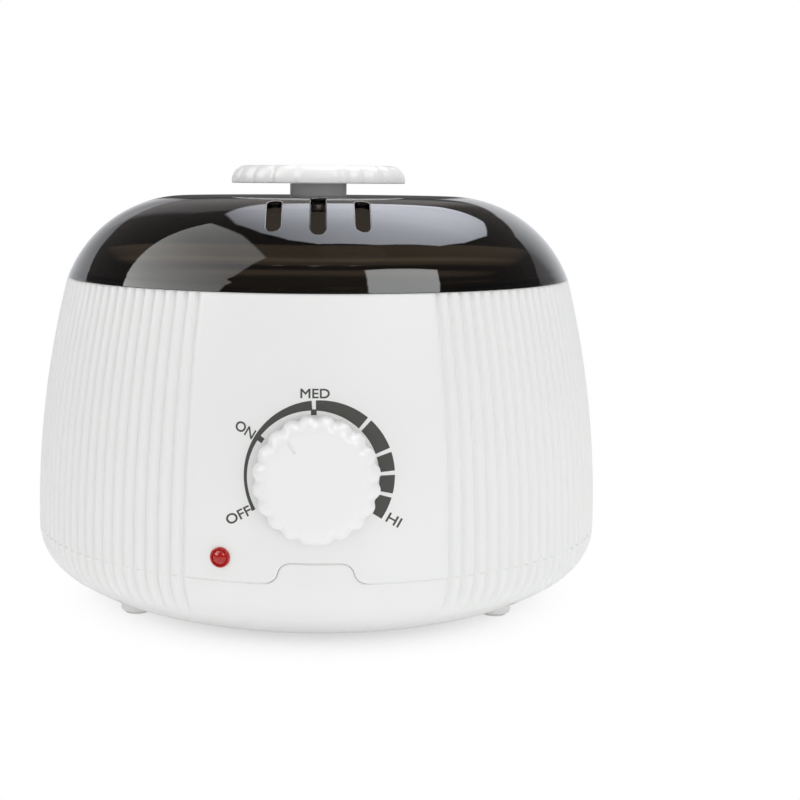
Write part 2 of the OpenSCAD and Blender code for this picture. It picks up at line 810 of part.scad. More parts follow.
module band_nut() {
  color("silver") translate([-lug_half, band_screw_y, band_z + band_h / 2]) rotate([0, -90, 0])
    hex_nut(band_nut_af, band_nut_t, band_screw_d + 2 * screw_fit);
}

module insulation_wrap() {
  color("ivory") open_ring(wrap_in_r, wrap_r, wrap_z, wrap_h, wrap_gap_a);
}

module heat_shield() {
  color("lightgray") difference() {
    rotate_extrude() {
      translate([0, shield_z - shield_t]) square([shield_r, shield_t]);
      translate([shield_r - shield_t, shield_z - shield_t]) square([shield_t, shield_rim_h]);
    }
    translate([0, 0, shield_z - 2 * shield_t]) cylinder(d = stud_d + loose, h = 4 * shield_t);
  }
}

module shield_spacer() {
  color("silver") translate([0, 0, shield_z]) difference() {
    cylinder(d = spacer_d, h = shield_drop);
    translate([0, 0, -over]) cylinder(d = stud_d + loose, h = shield_drop + 2 * over);
  }
}

module shield_nut() {
  color("silver") translate([0, 0, shield_z - shield_t - ring_t - nut_t])
    hex_nut(nut_width, nut_t, stud_d + 2 * screw_fit);
}

module thermal_fuse() {
  color("silver") translate([0, fuse_y, fuse_z]) rotate([0, 90, 0]) {
    cylinder(d = fuse_d, h = fuse_l, center = true);
    cylinder(d = thin_lead_d, h = fuse_l + 2 * fuse_leg, center = true);
  }
}

module fuse_clip() {
  inner = fuse_d + snug;
  outer = inner + 2 * clip_t;
  color("lightgray") difference() {
    union() {
      translate([-clip_w / 2, fuse_y, fuse_z]) rotate([0, 90, 0]) cylinder(d = outer, h = clip_w);
      translate([-clip_w / 2, fuse_y - outer / 2, fuse_z]) cube([clip_w, outer, well_z - fuse_z]);
      translate([-clip_w / 2, fuse_y - fuse_d / 2 - clip_foot, well_z - clip_t])
        cube([clip_w, fuse_d + 2 * clip_foot, clip_t]);
    }
    translate([-clip_w, fuse_y, fuse_z]) rotate([0, 90, 0]) cylinder(d = inner, h = 2 * clip_w);
    translate([-clip_w, fuse_y - inner / 2, fuse_z]) cube([2 * clip_w, inner, well_z]);
  }
}

module thermostat() {
  back = stat_z - stat_collar_t;
  color("tan") on_side(dial_z) difference() {
    union() {
      translate([-stat_w / 2, -stat_l / 2, back - stat_t]) cube([stat_w, stat_l, stat_t]);
      translate([0, 0, back - bite]) cylinder(d = stat_collar_d, h = stat_collar_t + bite);
      translate([0, 0, back - bite])
        cylinder(d = bush_d, h = bite - back - seat_depth + washer_t + stat_nut_t + bush_proud);
      both_sides(stat_w / 4) translate([-spade_t / 2, -stat_l / 2 - spade_l, back - stat_t / 2])
        cube([spade_t, spade_l + over, spade_w / 2]);
    }
    translate([0, 0, back - spindle_in - spindle_float])
      cylinder(d = spindle_d + 2 * spindle_fit, h = 3 * spindle_in + dial_h);
  }
}

// Copper blade, bent twice, from the back of the thermostat to the wall of the well
module sensor_blade() {
  back = stat_z - stat_collar_t - stat_t;
  low = on_side_point(dial_z, 0, -blade_plate_h / 2, back);
  function plate_y(z, depth) =
    low[1] + (z - low[2]) * tan(side_tilt(dial_z)) + depth / cos(side_tilt(dial_z));
  top_z = blade_z + blade_t;
  well_y = -well_r - blade_gap;
  color("peru") translate([-blade_w / 2, 0, 0]) rotate([90, 0, 90]) linear_extrude(blade_w) polygon([
    [low[1], low[2]], [plate_y(top_z, 0), top_z], [well_y - blade_t, top_z],
    [well_y - blade_t, blade_z + blade_foot_h], [well_y, blade_z + blade_foot_h], [well_y, blade_z],
    [plate_y(blade_z, blade_t), blade_z], [plate_y(low[2], blade_t), low[2]]]);
}

module thermostat_washer() {
  color("silver") on_side(dial_z) translate([0, 0, -seat_depth]) difference() {
    cylinder(d = washer_d, h = washer_t);
    translate([0, 0, -over]) cylinder(d = bush_d + snug, h = washer_t + 2 * over);
  }
}

module thermostat_nut() {
  color("silver") on_side(dial_z) translate([0, 0, washer_t - seat_depth])
    hex_nut(nut_af, stat_nut_t, bush_d + 2 * screw_fit);
}

// Section of a round knob with a rounded front edge: radius r, height h, edge radius c
module knob_2d(r, h, c) {
  square([r, h - c]);
  intersection() {
    union() {
      square([r - c, h]);
      translate([r - c, h - c]) circle(r = c);
    }
    square([r, h]);
  }
}

// Flat on the spindle that turns with the dial knob
module spindle_2d(d) {
  intersection() {
    circle(d = d);
    translate([-d, -d]) square([2 * d, (1 + spindle_flat) * d]);
  }
}

module thermostat_spindle() {
  back = stat_z - stat_collar_t - spindle_in;
  d_z = washer_t + stat_nut_t + bush_proud + loose;
  color("silver") on_side(dial_z) {
    translate([0, 0, back]) cylinder(d = spindle_d, h = d_z - back);
    translate([0, 0, d_z - bite]) linear_extrude(spindle_top - d_z + bite) spindle_2d(spindle_d);
  }
}

module dial_knob() {
  inner_h = dial_h - dial_top_t;
  hub_z = washer_t + stat_nut_t + hub_gap;
  color("white") on_side(dial_z) translate([0, 0, dial_gap]) difference() {
    union() {
      difference() {
        rotate_extrude() knob_2d(dial_r, dial_h, dial_dome_r);
        translate([0, 0, -over]) cylinder(r = dial_r - dial_wall - dial_scallop_r + dial_scallop_out, h = inner_h + over);
        for (i = [0 : dial_lobes - 1]) rotate([0, 0, (i + 0.5) * 360 / dial_lobes])
          translate([dial_r + dial_scallop_out, 0, -over]) cylinder(r = dial_scallop_r, h = dial_h + 2 * over);
      }
      translate([0, 0, hub_z]) cylinder(d = hub_d, h = inner_h - hub_z + bite);
    }
    translate([0, 0, -over]) linear_extrude(spindle_top - dial_gap + snug + over)
      spindle_2d(spindle_d + 2 * screw_fit);
    rotate([0, 0, pointer_a]) translate([pointer_r - pointer_l / 2, -pointer_w / 2, dial_h - pointer_depth])
      cube([pointer_l, pointer_w, over]);
  }
}

module indicator_lens() {
  color("firebrick") on_side(lens_z, -lens_az) difference() {
    union() {
      translate([0, 0, -barrel_l]) cylinder(d = barrel_d, h = barrel_l);
      cylinder(d = lens_d, h = lens_collar_t);
      rotate_extrude() intersection() {
        translate([0, lens_dome_c]) circle(r = lens_dome_r);
        translate([0, lens_collar_t - bite]) square([barrel_d / 2, lens_dome_r]);
      }
    }
    translate([0, 0, -barrel_l - over]) cylinder(d = lamp_d + snug, h = lens_bore_l + over);
  }
}

module indicator_lamp() {
  color("orange") on_side(lens_z, -lens_az) translate([0, 0, -barrel_l + lens_bore_l - lamp_gap - lamp_l]) {
    cylinder(d = lamp_d, h = lamp_l - lamp_d / 2);
    translate([0, 0, lamp_l - lamp_d / 2]) sphere(d = lamp_d);
  }
}

module lens_retainer() {
  color("silver") on_side(lens_z, -lens_az) translate([0, 0, -wall - snug - retainer_t]) difference() {
    cylinder(d = retainer_d, h = retainer_t);
    translate([0, 0, -over]) cylinder(d = barrel_d + 2 * screw_fit, h = retainer_t + 2 * over);
  }
}

module lamp_resistor() {
  color("tan") translate([resistor_x, resistor_y, resistor_z]) rotate([0, 90, 0]) {
    cylinder(d = resistor_d, h = resistor_l, center = true);
    cylinder(d = resistor_leg_d, h = resistor_l + 2 * resistor_leg, center = true);
  }
}

module terminal_block() {
  color("ivory") difference() {
    translate([-block_w / 2, block_y - block_d / 2, block_z]) cube([block_w, block_d, block_h]);
    for (i = [-1 : 1]) translate([i * pole_pitch, block_y, 0]) {
      translate([0, 0, terminal_bore_z]) rotate([90, 0, 0])
        cylinder(d = terminal_bore_d, h = block_d + 2 * over, center = true);
      for (s = [-1, 1]) translate([0, s * block_d / 4, terminal_bore_z])
        cylinder(d = terminal_screw_d + 2 * screw_fit, h = block_h);
    }
    both_sides(block_screw_x) translate([0, block_y, block_z - over]) {
      cylinder(d = block_screw_d + 2 * screw_fit, h = block_h + 2 * over);
      translate([0, 0, block_h - block_sink + over]) cylinder(d = block_head_d + loose, h = block_sink + over);
    }
  }
}

module terminal_screws() {
  color("silver") for (i = [-1 : 1], s = [-1, 1])
    translate([i * pole_pitch, block_y + s * block_d / 4, terminal_bore_z + terminal_screw_up])
      cylinder(d = terminal_screw_d, h = terminal_screw_l);
}

module block_screws() {
  color("silver") both_sides(block_screw_x) translate([0, block_y, block_z + block_h - block_sink])
    pan_screw(block_screw_d, block_h + block_pad_h - block_screw_short, block_head_d, block_head_t);
}

module wax_pot() {
  color("silver") difference() {
    rotate_extrude() {
      difference() {
        translate([0, pot_z]) cup_2d(pot_r, pot_h, pot_corner_r);
        translate([0, pot_z + pot_wall]) cup_2d(pot_r - pot_wall, pot_h, pot_corner_r - pot_wall);
      }
      translate([pot_r - pot_wall, pot_top_z - pot_wall])
        square([flange_r - bead_r - pot_r + pot_wall, pot_wall]);
      translate([flange_r - bead_r, pot_top_z - bead_r]) circle(r = bead_r);
    }
    translate([0, 0, pivot_z]) rotate([0, 90, 0])
      cylinder(d = ear_rivet_d + 2 * screw_fit, h = 2 * (pot_r + over), center = true);
  }
}

module pot_ears() {
  head_x = pot_r - pot_wall - ear_head_gap - ear_head_t;
  color("dimgray") for (s = [-1, 1]) mirror_x(s) translate([0, 0, pivot_z]) rotate([0, 90, 0]) difference() {
    union() {
      translate([0, 0, ear_root_x]) cylinder(d = ear_d, h = ear_reach - ear_root_x);
      translate([0, 0, head_x]) cylinder(d = ear_rivet_d, h = ear_root_x - head_x + over);
      translate([0, 0, head_x]) cylinder(d = ear_head_d, h = ear_head_t);
    }
    translate([0, 0, ear_reach - pin_in]) cylinder(d = wire_d + 2 * pivot_fit, h = pin_in + over);
  }
}

module pot_bail() {
  pin_x = ear_reach - pin_in + pin_end_gap;
  color("silver") translate([0, 0, pivot_z]) {
    rotate_extrude(angle = 180) translate([bail_r, 0]) circle(d = wire_d, $fn = 32);
    for (s = [-1, 1]) mirror_x(s) {
      translate([pin_x, 0, 0]) rotate([0, 90, 0]) cylinder(d = wire_d, h = bail_r - pin_x, $fn = 32);
      translate([bail_r, 0, 0]) sphere(d = wire_d, $fn = 32);
    }
  }
}

module bail_bead() {
  color("dimgray") translate([0, bail_r, pivot_z]) rotate([0, 90, 0]) difference() {
    intersection() {
      cylinder(d = grip_d, h = grip_l, center = true);
      sphere(d = grip_ball_d);
    }
    cylinder(d = wire_d + grip_fit, h = 2 * grip_l, center = true);
  }
}

// Region under the lid's dome, drawn in by inset
module lid_2d(inset) {
  intersection() {
    union() {
      square([lid_flat_r, lid_top_z - inset]);
      translate([lid_flat_r, lid_c_z]) circle(r = lid_arc_r - inset, $fn = arc_fn / 2);
    }
    translate([0, lid_seam_z]) square([body_r, lid_top_z]);
  }
}

// Vent slot of length l, seen from above, ending at radius r on the front slope
module vent_slot(x, l) {
  end_y = sqrt(pow(slot_outer_r, 2) - pow(x, 2)) - slot_w / 2;
  translate([x, -end_y, lid_seam_z + lid_dz / 3]) {
    cylinder(d = slot_w, h = lid_dz);
    translate([-slot_w / 2, 0, 0]) cube([slot_w, l - slot_w, lid_dz]);
    translate([0, l - slot_w, 0]) cylinder(d = slot_w, h = lid_dz);
  }
}

module lid_dome() {
  color([0.16, 0.13, 0.11, 0.75]) difference() {
    rotate_extrude() {
      difference() {
        lid_2d(0);
        lid_2d(lid_wall);
      }
      translate([skirt_in_r, lid_seam_z]) square([lid_r - lid_wall / 2 - skirt_in_r, skirt_h]);
      translate([skirt_in_r, lid_seam_z - skirt_h]) square([skirt_t, 2 * skirt_h]);
    }
    vent_slot(0, slot_mid_l);
    for (s = [-1, 1]) vent_slot(s * slot_pitch, slot_side_l);
    translate([0, 0, lid_top_z - 2 * lid_wall]) cylinder(d = lid_screw_d + loose, h = 4 * lid_wall);
  }
}

module lid_stem() {
  color("gray") translate([0, 0, lid_top_z]) difference() {
    cylinder(d = stem_d, h = stem_h);
    translate([0, 0, -over]) cylinder(d = lid_screw_d + loose, h = stem_h + 2 * over);
  }
}

module lid_knob() {
  r = knob_d / 2;
  color("white") translate([0, 0, knob_z]) difference() {
    rotate_extrude() knob_2d(r, knob_t, knob_edge_r);
    for (i = [0 : knob_lobes - 1]) rotate([0, 0, i * 360 / knob_lobes])
      translate([r + knob_scallop_out, 0, -over]) cylinder(r = knob_scallop_r, h = knob_t + 2 * over);
    translate([0, 0, -over]) cylinder(d = lid_screw_d + 2 * screw_fit, h = knob_t - knob_top_t + over);
  }
}

module lid_screw() {
  color("silver") translate([0, 0, lid_top_z - lid_wall - lid_washer_t]) rotate([180, 0, 0])
    pan_screw(lid_screw_d, lid_wall + lid_washer_t + stem_h + knob_t - knob_top_t - lid_screw_short,
      lid_screw_head_d, lid_screw_head_t);
}

module lid_washer() {
  color("silver") translate([0, 0, lid_top_z - lid_wall - lid_washer_t]) difference() {
    cylinder(d = lid_washer_d, h = lid_washer_t);
    translate([0, 0, -over]) cylinder(d = lid_screw_d + loose, h = lid_washer_t + 2 * over);
  }
}

module live_lead() {
  color("saddlebrown") lead(live_route, lead_d);
}

module heater_lead() {
  color("saddlebrown") lead(heater_route, lead_d);
}

module fuse_lead() {
  color("white") lead(fuse_route, lead_d);
}

module neutral_lead() {
  color("steelblue") lead(neutral_route, lead_d);
}

module lamp_leads() {
  color("white") {
    lead(lamp_route, thin_lead_d);
    lead(resistor_route, thin_lead_d);
    lead(lamp_neutral_route, thin_lead_d);
  }
}

// Earth lead with its ring terminal round the shield's stud
module earth_lead() {
  color("yellowgreen") {
    lead(earth_route, lead_d);
    translate([0, 0, shield_z - shield_t - ring_t]) difference() {
      union() {
        cylinder(d = ring_d, h = ring_t);
        translate([-lead_d / 2, 0, 0]) cube([lead_d, earth_route[3][1] + lead_d / 2, ring_t]);
      }
      translate([0, 0, -over]) cylinder(d = stud_d + 2 * screw_fit, h = ring_t + 2 * over);
    }
  }
}

body_shell();
base_shell();
foot_pads();
base_screws();
inlet_bush();
heating_well();
well_screws();
heater_band();
band_screw();
band_nut();
insulation_wrap();
heat_shield();
shield_spacer();
shield_nut();
thermal_fuse();
fuse_clip();
thermostat();
sensor_blade();
thermostat_washer();
thermostat_nut();
thermostat_spindle();
dial_knob();
indicator_lens();
indicator_lamp();
lens_retainer();
lamp_resistor();
terminal_block();
terminal_screws();
block_screws();
live_lead();
heater_lead();
fuse_lead();
neutral_lead();
lamp_leads();
earth_lead();
wax_pot();
pot_ears();
pot_bail();
bail_bead();
lid_dome();
lid_stem();
lid_knob();
lid_screw();
lid_washer();
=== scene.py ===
"""Looks of a wax warmer: ribbed white housing, smoked lid, dial and its printed scale, pot, inner parts."""

import math

import bmesh
import bpy
from mathutils import Matrix, Vector


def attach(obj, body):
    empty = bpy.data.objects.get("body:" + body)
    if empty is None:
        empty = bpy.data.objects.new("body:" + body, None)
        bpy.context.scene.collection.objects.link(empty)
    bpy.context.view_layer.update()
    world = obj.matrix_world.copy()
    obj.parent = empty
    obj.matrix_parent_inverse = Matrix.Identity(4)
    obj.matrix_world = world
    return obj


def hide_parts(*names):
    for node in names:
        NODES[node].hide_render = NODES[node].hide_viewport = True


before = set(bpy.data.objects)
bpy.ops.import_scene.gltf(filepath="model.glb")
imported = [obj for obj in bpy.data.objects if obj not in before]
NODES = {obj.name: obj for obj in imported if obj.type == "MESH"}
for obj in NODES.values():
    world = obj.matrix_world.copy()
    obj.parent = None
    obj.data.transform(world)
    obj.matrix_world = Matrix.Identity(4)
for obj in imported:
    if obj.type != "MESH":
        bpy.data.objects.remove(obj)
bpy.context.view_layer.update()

MM = 0.001
TURN = 2 * math.pi
VECTOR, RANGE = "ShaderNodeVectorMath", "ShaderNodeMapRange"


# ---- Small helpers ----

def node(tree, kind, inputs=(), **settings):
    """Adds a node with its settings. Each input takes a value, a socket, or another node's first output."""
    made = tree.nodes.new(kind)
    for name, value in settings.items():
        setattr(made, name, value)
    for name, value in (inputs.items() if isinstance(inputs, dict) else enumerate(inputs)):
        if isinstance(value, bpy.types.Node):
            value = value.outputs[0]
        if isinstance(value, bpy.types.NodeSocket):
            tree.links.new(value, made.inputs[name])
        else:
            made.inputs[name].default_value = value
    return made


def calc(tree, operation, *inputs):
    """Adds a node that calculates with numbers."""
    return node(tree, "ShaderNodeMath", inputs, operation=operation)


def linear(hex_colour):
    """An sRGB hex colour as linear RGBA."""
    parts = [int(hex_colour[i:i + 2], 16) / 255 for i in (1, 3, 5)]
    return [c / 12.92 if c <= 0.04045 else ((c + 0.055) / 1.055) ** 2.4 for c in parts] + [1.0]


# ---- Sizes of the object, in millimetres, as in its construction ----

SKIN = 0.07  # how far the dressed surface lies inside the construction's
BODY_R, SEAM_Z, LID_SEAM_Z = 93.5, 25.0, 106.0
SIDE_ARC_R = 315.0
SIDE_C = BODY_R - SIDE_ARC_R
BASE_TIGHT = (76.5, 25.0, 17.0)  # centre r, centre z and radius of the base's tight curve
BASE_WIDE = (57.85, 51.0, 49.0)
BASE_TANGENT = math.degrees(math.atan2(-13.82, 9.91))  # where the two curves meet
BASE_FLOOR_Z = 2.0
PARTING_R, TOP_EDGE_R = 0.3, 0.35  # tubes that cut the line round the tab and ease the top edge
FOOT_X, FOOT_Y, FOOT_ROOM_R, FOOT_ROOM_Z = 57.5, 36.0, 5.4, (-1.0, 7.0)  # room kept round each foot

RIBS, RIB_DEPTH, PLAIN_HALF_A = 132, 1.25, math.radians(24.0)
RIB_COLUMNS, RIB_NARROWNESS, RIB_CROWDING = 8, 3.0, 0.5  # faces across a rib, and its groove's form
RIB_END_Z, RIB_FADE_H = 11.5, 6.5
TAB_TOP_HALF, TAB_FOOT_HALF, TAB_H, TAB_ARC_R = 7.1, 14.4, 5.9, 3.733

LID_FLAT_R, LID_TOP_Z, LID_ARC_R, LID_WALL = 44.0, 132.5, 41.81, 2.2
LID_C_Z = LID_TOP_Z - LID_ARC_R
LID_HOLE_R, LID_RIM_EASE = 2.2, 0.3
SKIRT_IN_R, SKIRT_T, SKIRT_H = 77.208, 2.0, 1.6
WITNESS_DEPTH, WITNESS_H, WITNESS_HALF_W = 0.03, 3.25, 0.7
SLOT_W, SLOT_OUTER_R, SLOT_RIM_R, SLOT_CUT_Z = 4.5, 71.208, 0.27, (108, 140)
SLOTS = ((0, 25.5, 0), (-13, 18.3, 0.9), (13, 18.3, 0.9))  # middle x, length, and how much further back

KNOB_Z, KNOB_R, KNOB_T, KNOB_EDGE_R, KNOB_LOBES = 136.6, 28.9, 5.8, 5.0, 22
KNOB_HOLE_R, KNOB_HOLE_DEPTH, KNOB_LOBE_DEPTH = 1.4, 4.4, 0.95
KNOB_CHAMFER, KNOB_GROWTH = (0.35, 0.3), 1.25  # growth: how soon a lobe has its full depth on the edge

DIAL_Z, DIAL_GAP, DIAL_R, DIAL_H, DIAL_EDGE_R, DIAL_LOBES = 55.4, 0.9, 17.8, 12.4, 5.0, 20
DIAL_BORE_R, DIAL_HUB_R, DIAL_IN_R, DIAL_LOBE_DEPTH = 3.1, 4.8, 14.8, 0.9
DIAL_HUB_Z, DIAL_BORE_Z, DIAL_HOLLOW_Z, DIAL_CHAMFER, DIAL_GROWTH = 7.2, 11.2, 11.3, 0.3, 1.3
POINTER_A, POINTER_R, POINTER_L, POINTER_W, POINTER_DEPTH = 126.0, 11.6, 3.6, 0.9, 0.5

LENS_Z, LENS_AZ = 31.8, 16.9
LENS_BORE_R, LENS_STEM_R, LENS_STEM_END, LENS_FLANGE_R, LENS_EDGE_R = 1.65, 2.35, -8.9, 2.93, 0.25
LENS_GROOVE, LENS_DOME_Z, LENS_DOME_R = ((2.45, 0.6), (2.28, 0.22)), -0.9, 2.5


def side_r(z):
    """Radius of the housing's side at height z."""
    return SIDE_C + math.sqrt(SIDE_ARC_R ** 2 - (z - SEAM_Z) ** 2)


def lid_z(r):
    """Height of the lid's outer surface at radius r."""
    return LID_TOP_Z if r < LID_FLAT_R else LID_C_Z + math.sqrt(LID_ARC_R ** 2 - (r - LID_FLAT_R) ** 2)


def on_panel(x, z, proud=0.0):
    """The point of the housing's front at x and z."""
    r = side_r(z) + proud
    return Vector((x, -math.sqrt(r * r - x * x), z)) * MM


def side_frame(z, az=0.0):
    """Places a part made along +Z square on the housing's side, at height z and az degrees from the front."""
    tilt = math.asin((z - SEAM_Z) / SIDE_ARC_R)
    return (Matrix.Rotation(math.radians(az), 4, "Z")
            @ Matrix.Translation(Vector((0, -side_r(z), z)) * MM)
            @ Matrix.Rotation(math.pi / 2 - tilt, 4, "X"))


# ---- Making meshes ----

def in_scene(name, data):
    """A new object of the scene."""
    made = bpy.data.objects.new(name, data)
    bpy.context.scene.collection.objects.link(made)
    return made


def mesh_object(name, verts, faces, edges=()):
    """A new mesh object from points in metres."""
    mesh = bpy.data.meshes.new(name)
    mesh.from_pydata(verts, edges, faces)
    return in_scene(name, mesh)


def plain_mesh(made):
    """The mesh that an object's modifiers or letters make."""
    bpy.context.view_layer.update()
    return bpy.data.meshes.new_from_object(made.evaluated_get(bpy.context.evaluated_depsgraph_get()))


def settled(made):
    """Turns an object with its modifiers into a plain mesh object."""
    mesh = plain_mesh(made)
    made.modifiers.clear()
    made.data = mesh
    return made


def clean(made, merge=0.0, outward=False):
    """Merges doubled points and turns the faces outwards, where each is asked for."""
    bm = bmesh.new()
    bm.from_mesh(made.data)
    if merge:
        bmesh.ops.remove_doubles(bm, verts=bm.verts, dist=merge)
    if outward:
        bmesh.ops.recalc_face_normals(bm, faces=bm.faces)
    bm.to_mesh(made.data)
    bm.free()
    return made


def carved(piece, tool, operation):
    """Cuts, keeps or adds what the tool covers, and removes the tool."""
    cut = piece.modifiers.new("carve", "BOOLEAN")
    cut.operation, cut.solver, cut.object = operation, "MANIFOLD", tool
    settled(piece)
    bpy.data.objects.remove(tool)
    return piece


def arc(cx, cz, r, a0, a1, steps, inset=0.0):
    """Section points (r, z, outward r, outward z) along an arc, its angles in degrees above outward."""
    out = []
    for i in range(steps + 1):
        a = math.radians(a0 + (a1 - a0) * i / steps)
        away, up = math.cos(a), math.sin(a)
        out.append((cx + (r - inset) * away, cz + (r - inset) * up, away, up))
    return out


def smooth(points):
    """The same section points, none of them cut by a flute."""
    return [(point[0], point[1], 0, 0) for point in points]


def shape_tree(name, **inputs):
    """A new geometry tree that takes a piece's shape, its sizes and its finish, and the inputs' sockets."""
    tree = bpy.data.node_groups.new(name, "GeometryNodeTree")
    tree.interface.new_socket("Geometry", in_out="OUTPUT", socket_type="NodeSocketGeometry")
    for label, kind in inputs.items():
        tree.interface.new_socket(label.replace("_", " "), in_out="INPUT", socket_type="NodeSocket" + kind)
    return tree, node(tree, "NodeGroupInput").outputs


def ended(tree, shape, finish):
    """Ends a tree with plain geometry in its finish."""
    real = node(tree, "GeometryNodeRealizeInstances", {"Geometry": shape})
    finished = node(tree, "GeometryNodeSetMaterial", {"Geometry": real, "Material": finish})
    node(tree, "NodeGroupOutput", (finished,))
    return tree


def flute_tree():
    """Turns a section round Z. Flutes are cut along each point's "cut" direction, none near the front."""
    tree, given = shape_tree("turned_with_flutes", Section="Geometry", Rows="Int", Columns="Int",
                             Flutes="Int", Depth="Float", Narrowness="Float", Plain_Half_Angle="Float",
                             Crowding="Float", Finish="Material")
    columns, rows, flutes = given["Columns"], given["Rows"], given["Flutes"]
    span = calc(tree, "SUBTRACT", rows, 1.0)
    grid = node(tree, "GeometryNodeMeshGrid", {
        "Vertices X": calc(tree, "ADD", columns, 1.0), "Vertices Y": rows,
        "Size X": columns, "Size Y": span})
    place = node(tree, "ShaderNodeSeparateXYZ", (node(tree, "GeometryNodeInputPosition"),)).outputs
    column = calc(tree, "MULTIPLY_ADD", columns, 0.5, place["X"])
    row = calc(tree, "ROUND", calc(tree, "MULTIPLY_ADD", span, 0.5, place["Y"]))

    # which flute a column belongs to, how far along it lies, and columns drawn together at the groove
    pitch = calc(tree, "MULTIPLY", calc(tree, "DIVIDE", column, columns), flutes)
    whole = calc(tree, "FLOOR", calc(tree, "ADD", pitch, 1e-4))
    part = calc(tree, "SUBTRACT", pitch, whole)
    sway = calc(tree, "SINE", calc(tree, "MULTIPLY", part, TURN))
    pull = calc(tree, "DIVIDE", given["Crowding"], -TURN)
    crowded = calc(tree, "MULTIPLY_ADD", sway, pull, part)
    step = calc(tree, "DIVIDE", TURN, flutes)
    angle = calc(tree, "MULTIPLY", calc(tree, "ADD", whole, crowded), step)

    # the groove's own section, and none of it near the plain front
    wave = calc(tree, "COSINE", calc(tree, "MULTIPLY", crowded, TURN))
    swell = calc(tree, "MULTIPLY_ADD", wave, 0.5, 0.5)
    groove = calc(tree, "POWER", swell, given["Narrowness"])
    nearest = calc(tree, "MULTIPLY_ADD", calc(tree, "ROUND", pitch), step, -math.pi)
    from_front = calc(tree, "SUBTRACT", math.pi, calc(tree, "ABSOLUTE", nearest))
    ribbed_here = calc(tree, "GREATER_THAN", from_front, given["Plain Half Angle"])
    amount = calc(tree, "MULTIPLY", calc(tree, "MULTIPLY", groove, ribbed_here), given["Depth"])

    # each row's point of the section, moved along its cut direction and swung round Z
    read = [node(tree, "GeometryNodeSampleIndex",
                 {"Geometry": given["Section"], "Value": value, "Index": row},
                 data_type="FLOAT_VECTOR", domain="POINT")
            for value in (node(tree, "GeometryNodeInputPosition"),
                          node(tree, "GeometryNodeInputNamedAttribute", {"Name": "cut"},
                               data_type="FLOAT_VECTOR"))]
    cut = node(tree, VECTOR, {0: read[1], "Scale": amount}, operation="SCALE")
    moved = node(tree, VECTOR, (read[0], cut), operation="ADD")
    point = node(tree, "ShaderNodeSeparateXYZ", (moved,)).outputs
    east = calc(tree, "MULTIPLY", point["X"], calc(tree, "SINE", angle))
    north = calc(tree, "MULTIPLY", calc(tree, "MULTIPLY", point["X"], -1.0), calc(tree, "COSINE", angle))
    placed = node(tree, "GeometryNodeSetPosition", {
        "Geometry": grid, "Position": node(tree, "ShaderNodeCombineXYZ", (east, north, point["Z"]))})
    closed = node(tree, "GeometryNodeMergeByDistance", {"Geometry": placed, "Distance": 1e-6})
    return ended(tree, closed, given["Finish"])


def tube_tree():
    """Runs a round tube along a path: the cutter for parting lines and for rims."""
    tree, given = shape_tree("tube_on_path", Path="Geometry", Radius="Float", Finish="Material")
    line = node(tree, "GeometryNodeMeshToCurve", {"Mesh": given["Path"]})
    ring = node(tree, "GeometryNodeCurvePrimitiveCircle", {"Resolution": 10, "Radius": given["Radius"]})
    swept = node(tree, "GeometryNodeCurveToMesh", {"Curve": line, "Profile Curve": ring})
    return ended(tree, swept, given["Finish"])


def grown(made, tree, **values):
    """Gives an object a tree's modifier, sets its inputs by their identifiers, and settles it."""
    modifier = made.modifiers.new(tree.name, "NODES")
    modifier.node_group = tree
    ids = {s.name: s.identifier for s in tree.interface.items_tree if s.in_out == "INPUT"}
    for name, value in values.items():
        modifier[ids[name.replace("_", " ")]] = value
    return settled(made)


FLUTED = flute_tree()
TUBE = tube_tree()


def turned(name, section, finish, columns=256, flutes=1, depth=0.0, narrowness=1.0, plain=0.0,
           crowding=0.0):
    """A turned solid from a section of (r, z, cut r, cut z) in millimetres."""
    count = len(section)
    made = mesh_object(name, [Vector((r, 0, z)) * MM for r, z, _, _ in section], [],
                       [(i, i + 1) for i in range(count - 1)])
    cut = made.data.attributes.new("cut", "FLOAT_VECTOR", "POINT")
    for i, (_, _, cr, cz) in enumerate(section):
        cut.data[i].vector = (cr, 0, cz)
    grown(made, FLUTED, Rows=count, Columns=columns, Flutes=flutes, Depth=depth * MM,
          Narrowness=narrowness, Plain_Half_Angle=plain, Crowding=crowding, Finish=finish)
    return clean(made, outward=True)


def tube(name, path, radius, finish):
    """A closed tube along the path's points, in metres."""
    count = len(path)
    made = mesh_object(name, path, [], [(i, (i + 1) % count) for i in range(count)])
    grown(made, TUBE, Radius=radius * MM, Finish=finish)
    return clean(made, merge=1e-9, outward=True)


def cad_copy(name, source):
    """A merged copy of a construction node, without its stored normals."""
    made = in_scene(name, NODES[source].data.copy())
    stored = made.data.attributes.get("custom_normal")
    if stored:
        made.data.attributes.remove(stored)
    return clean(made, merge=1e-7)


def dressed(made, finish, body, slot, *nodes, sharp=38, second=None):
    """Gives a piece its material, smooth shading up to an angle, its body and the nodes it stands for; the
    slot is not used. Faces that a cutter left with the second material keep it."""
    mesh = made.data
    before = list(mesh.materials)
    kept = [int(second is not None and before[f.material_index] == second) for f in mesh.polygons]
    mesh.materials.clear()
    for one in (finish, second):
        if one is not None:
            mesh.materials.append(one)
    mesh.polygons.foreach_set("material_index", kept)
    mesh.shade_smooth()
    mesh.set_sharp_from_angle(angle=math.radians(sharp))
    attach(made, body)
    if nodes:
        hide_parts(*nodes)


# ---- Materials ----
# Every pattern's scale is a real size in millimetres. A grain under 0.2 mm can't show in the picture, so
# it is drawn two to five times coarser, and as much shallower, than the real one.

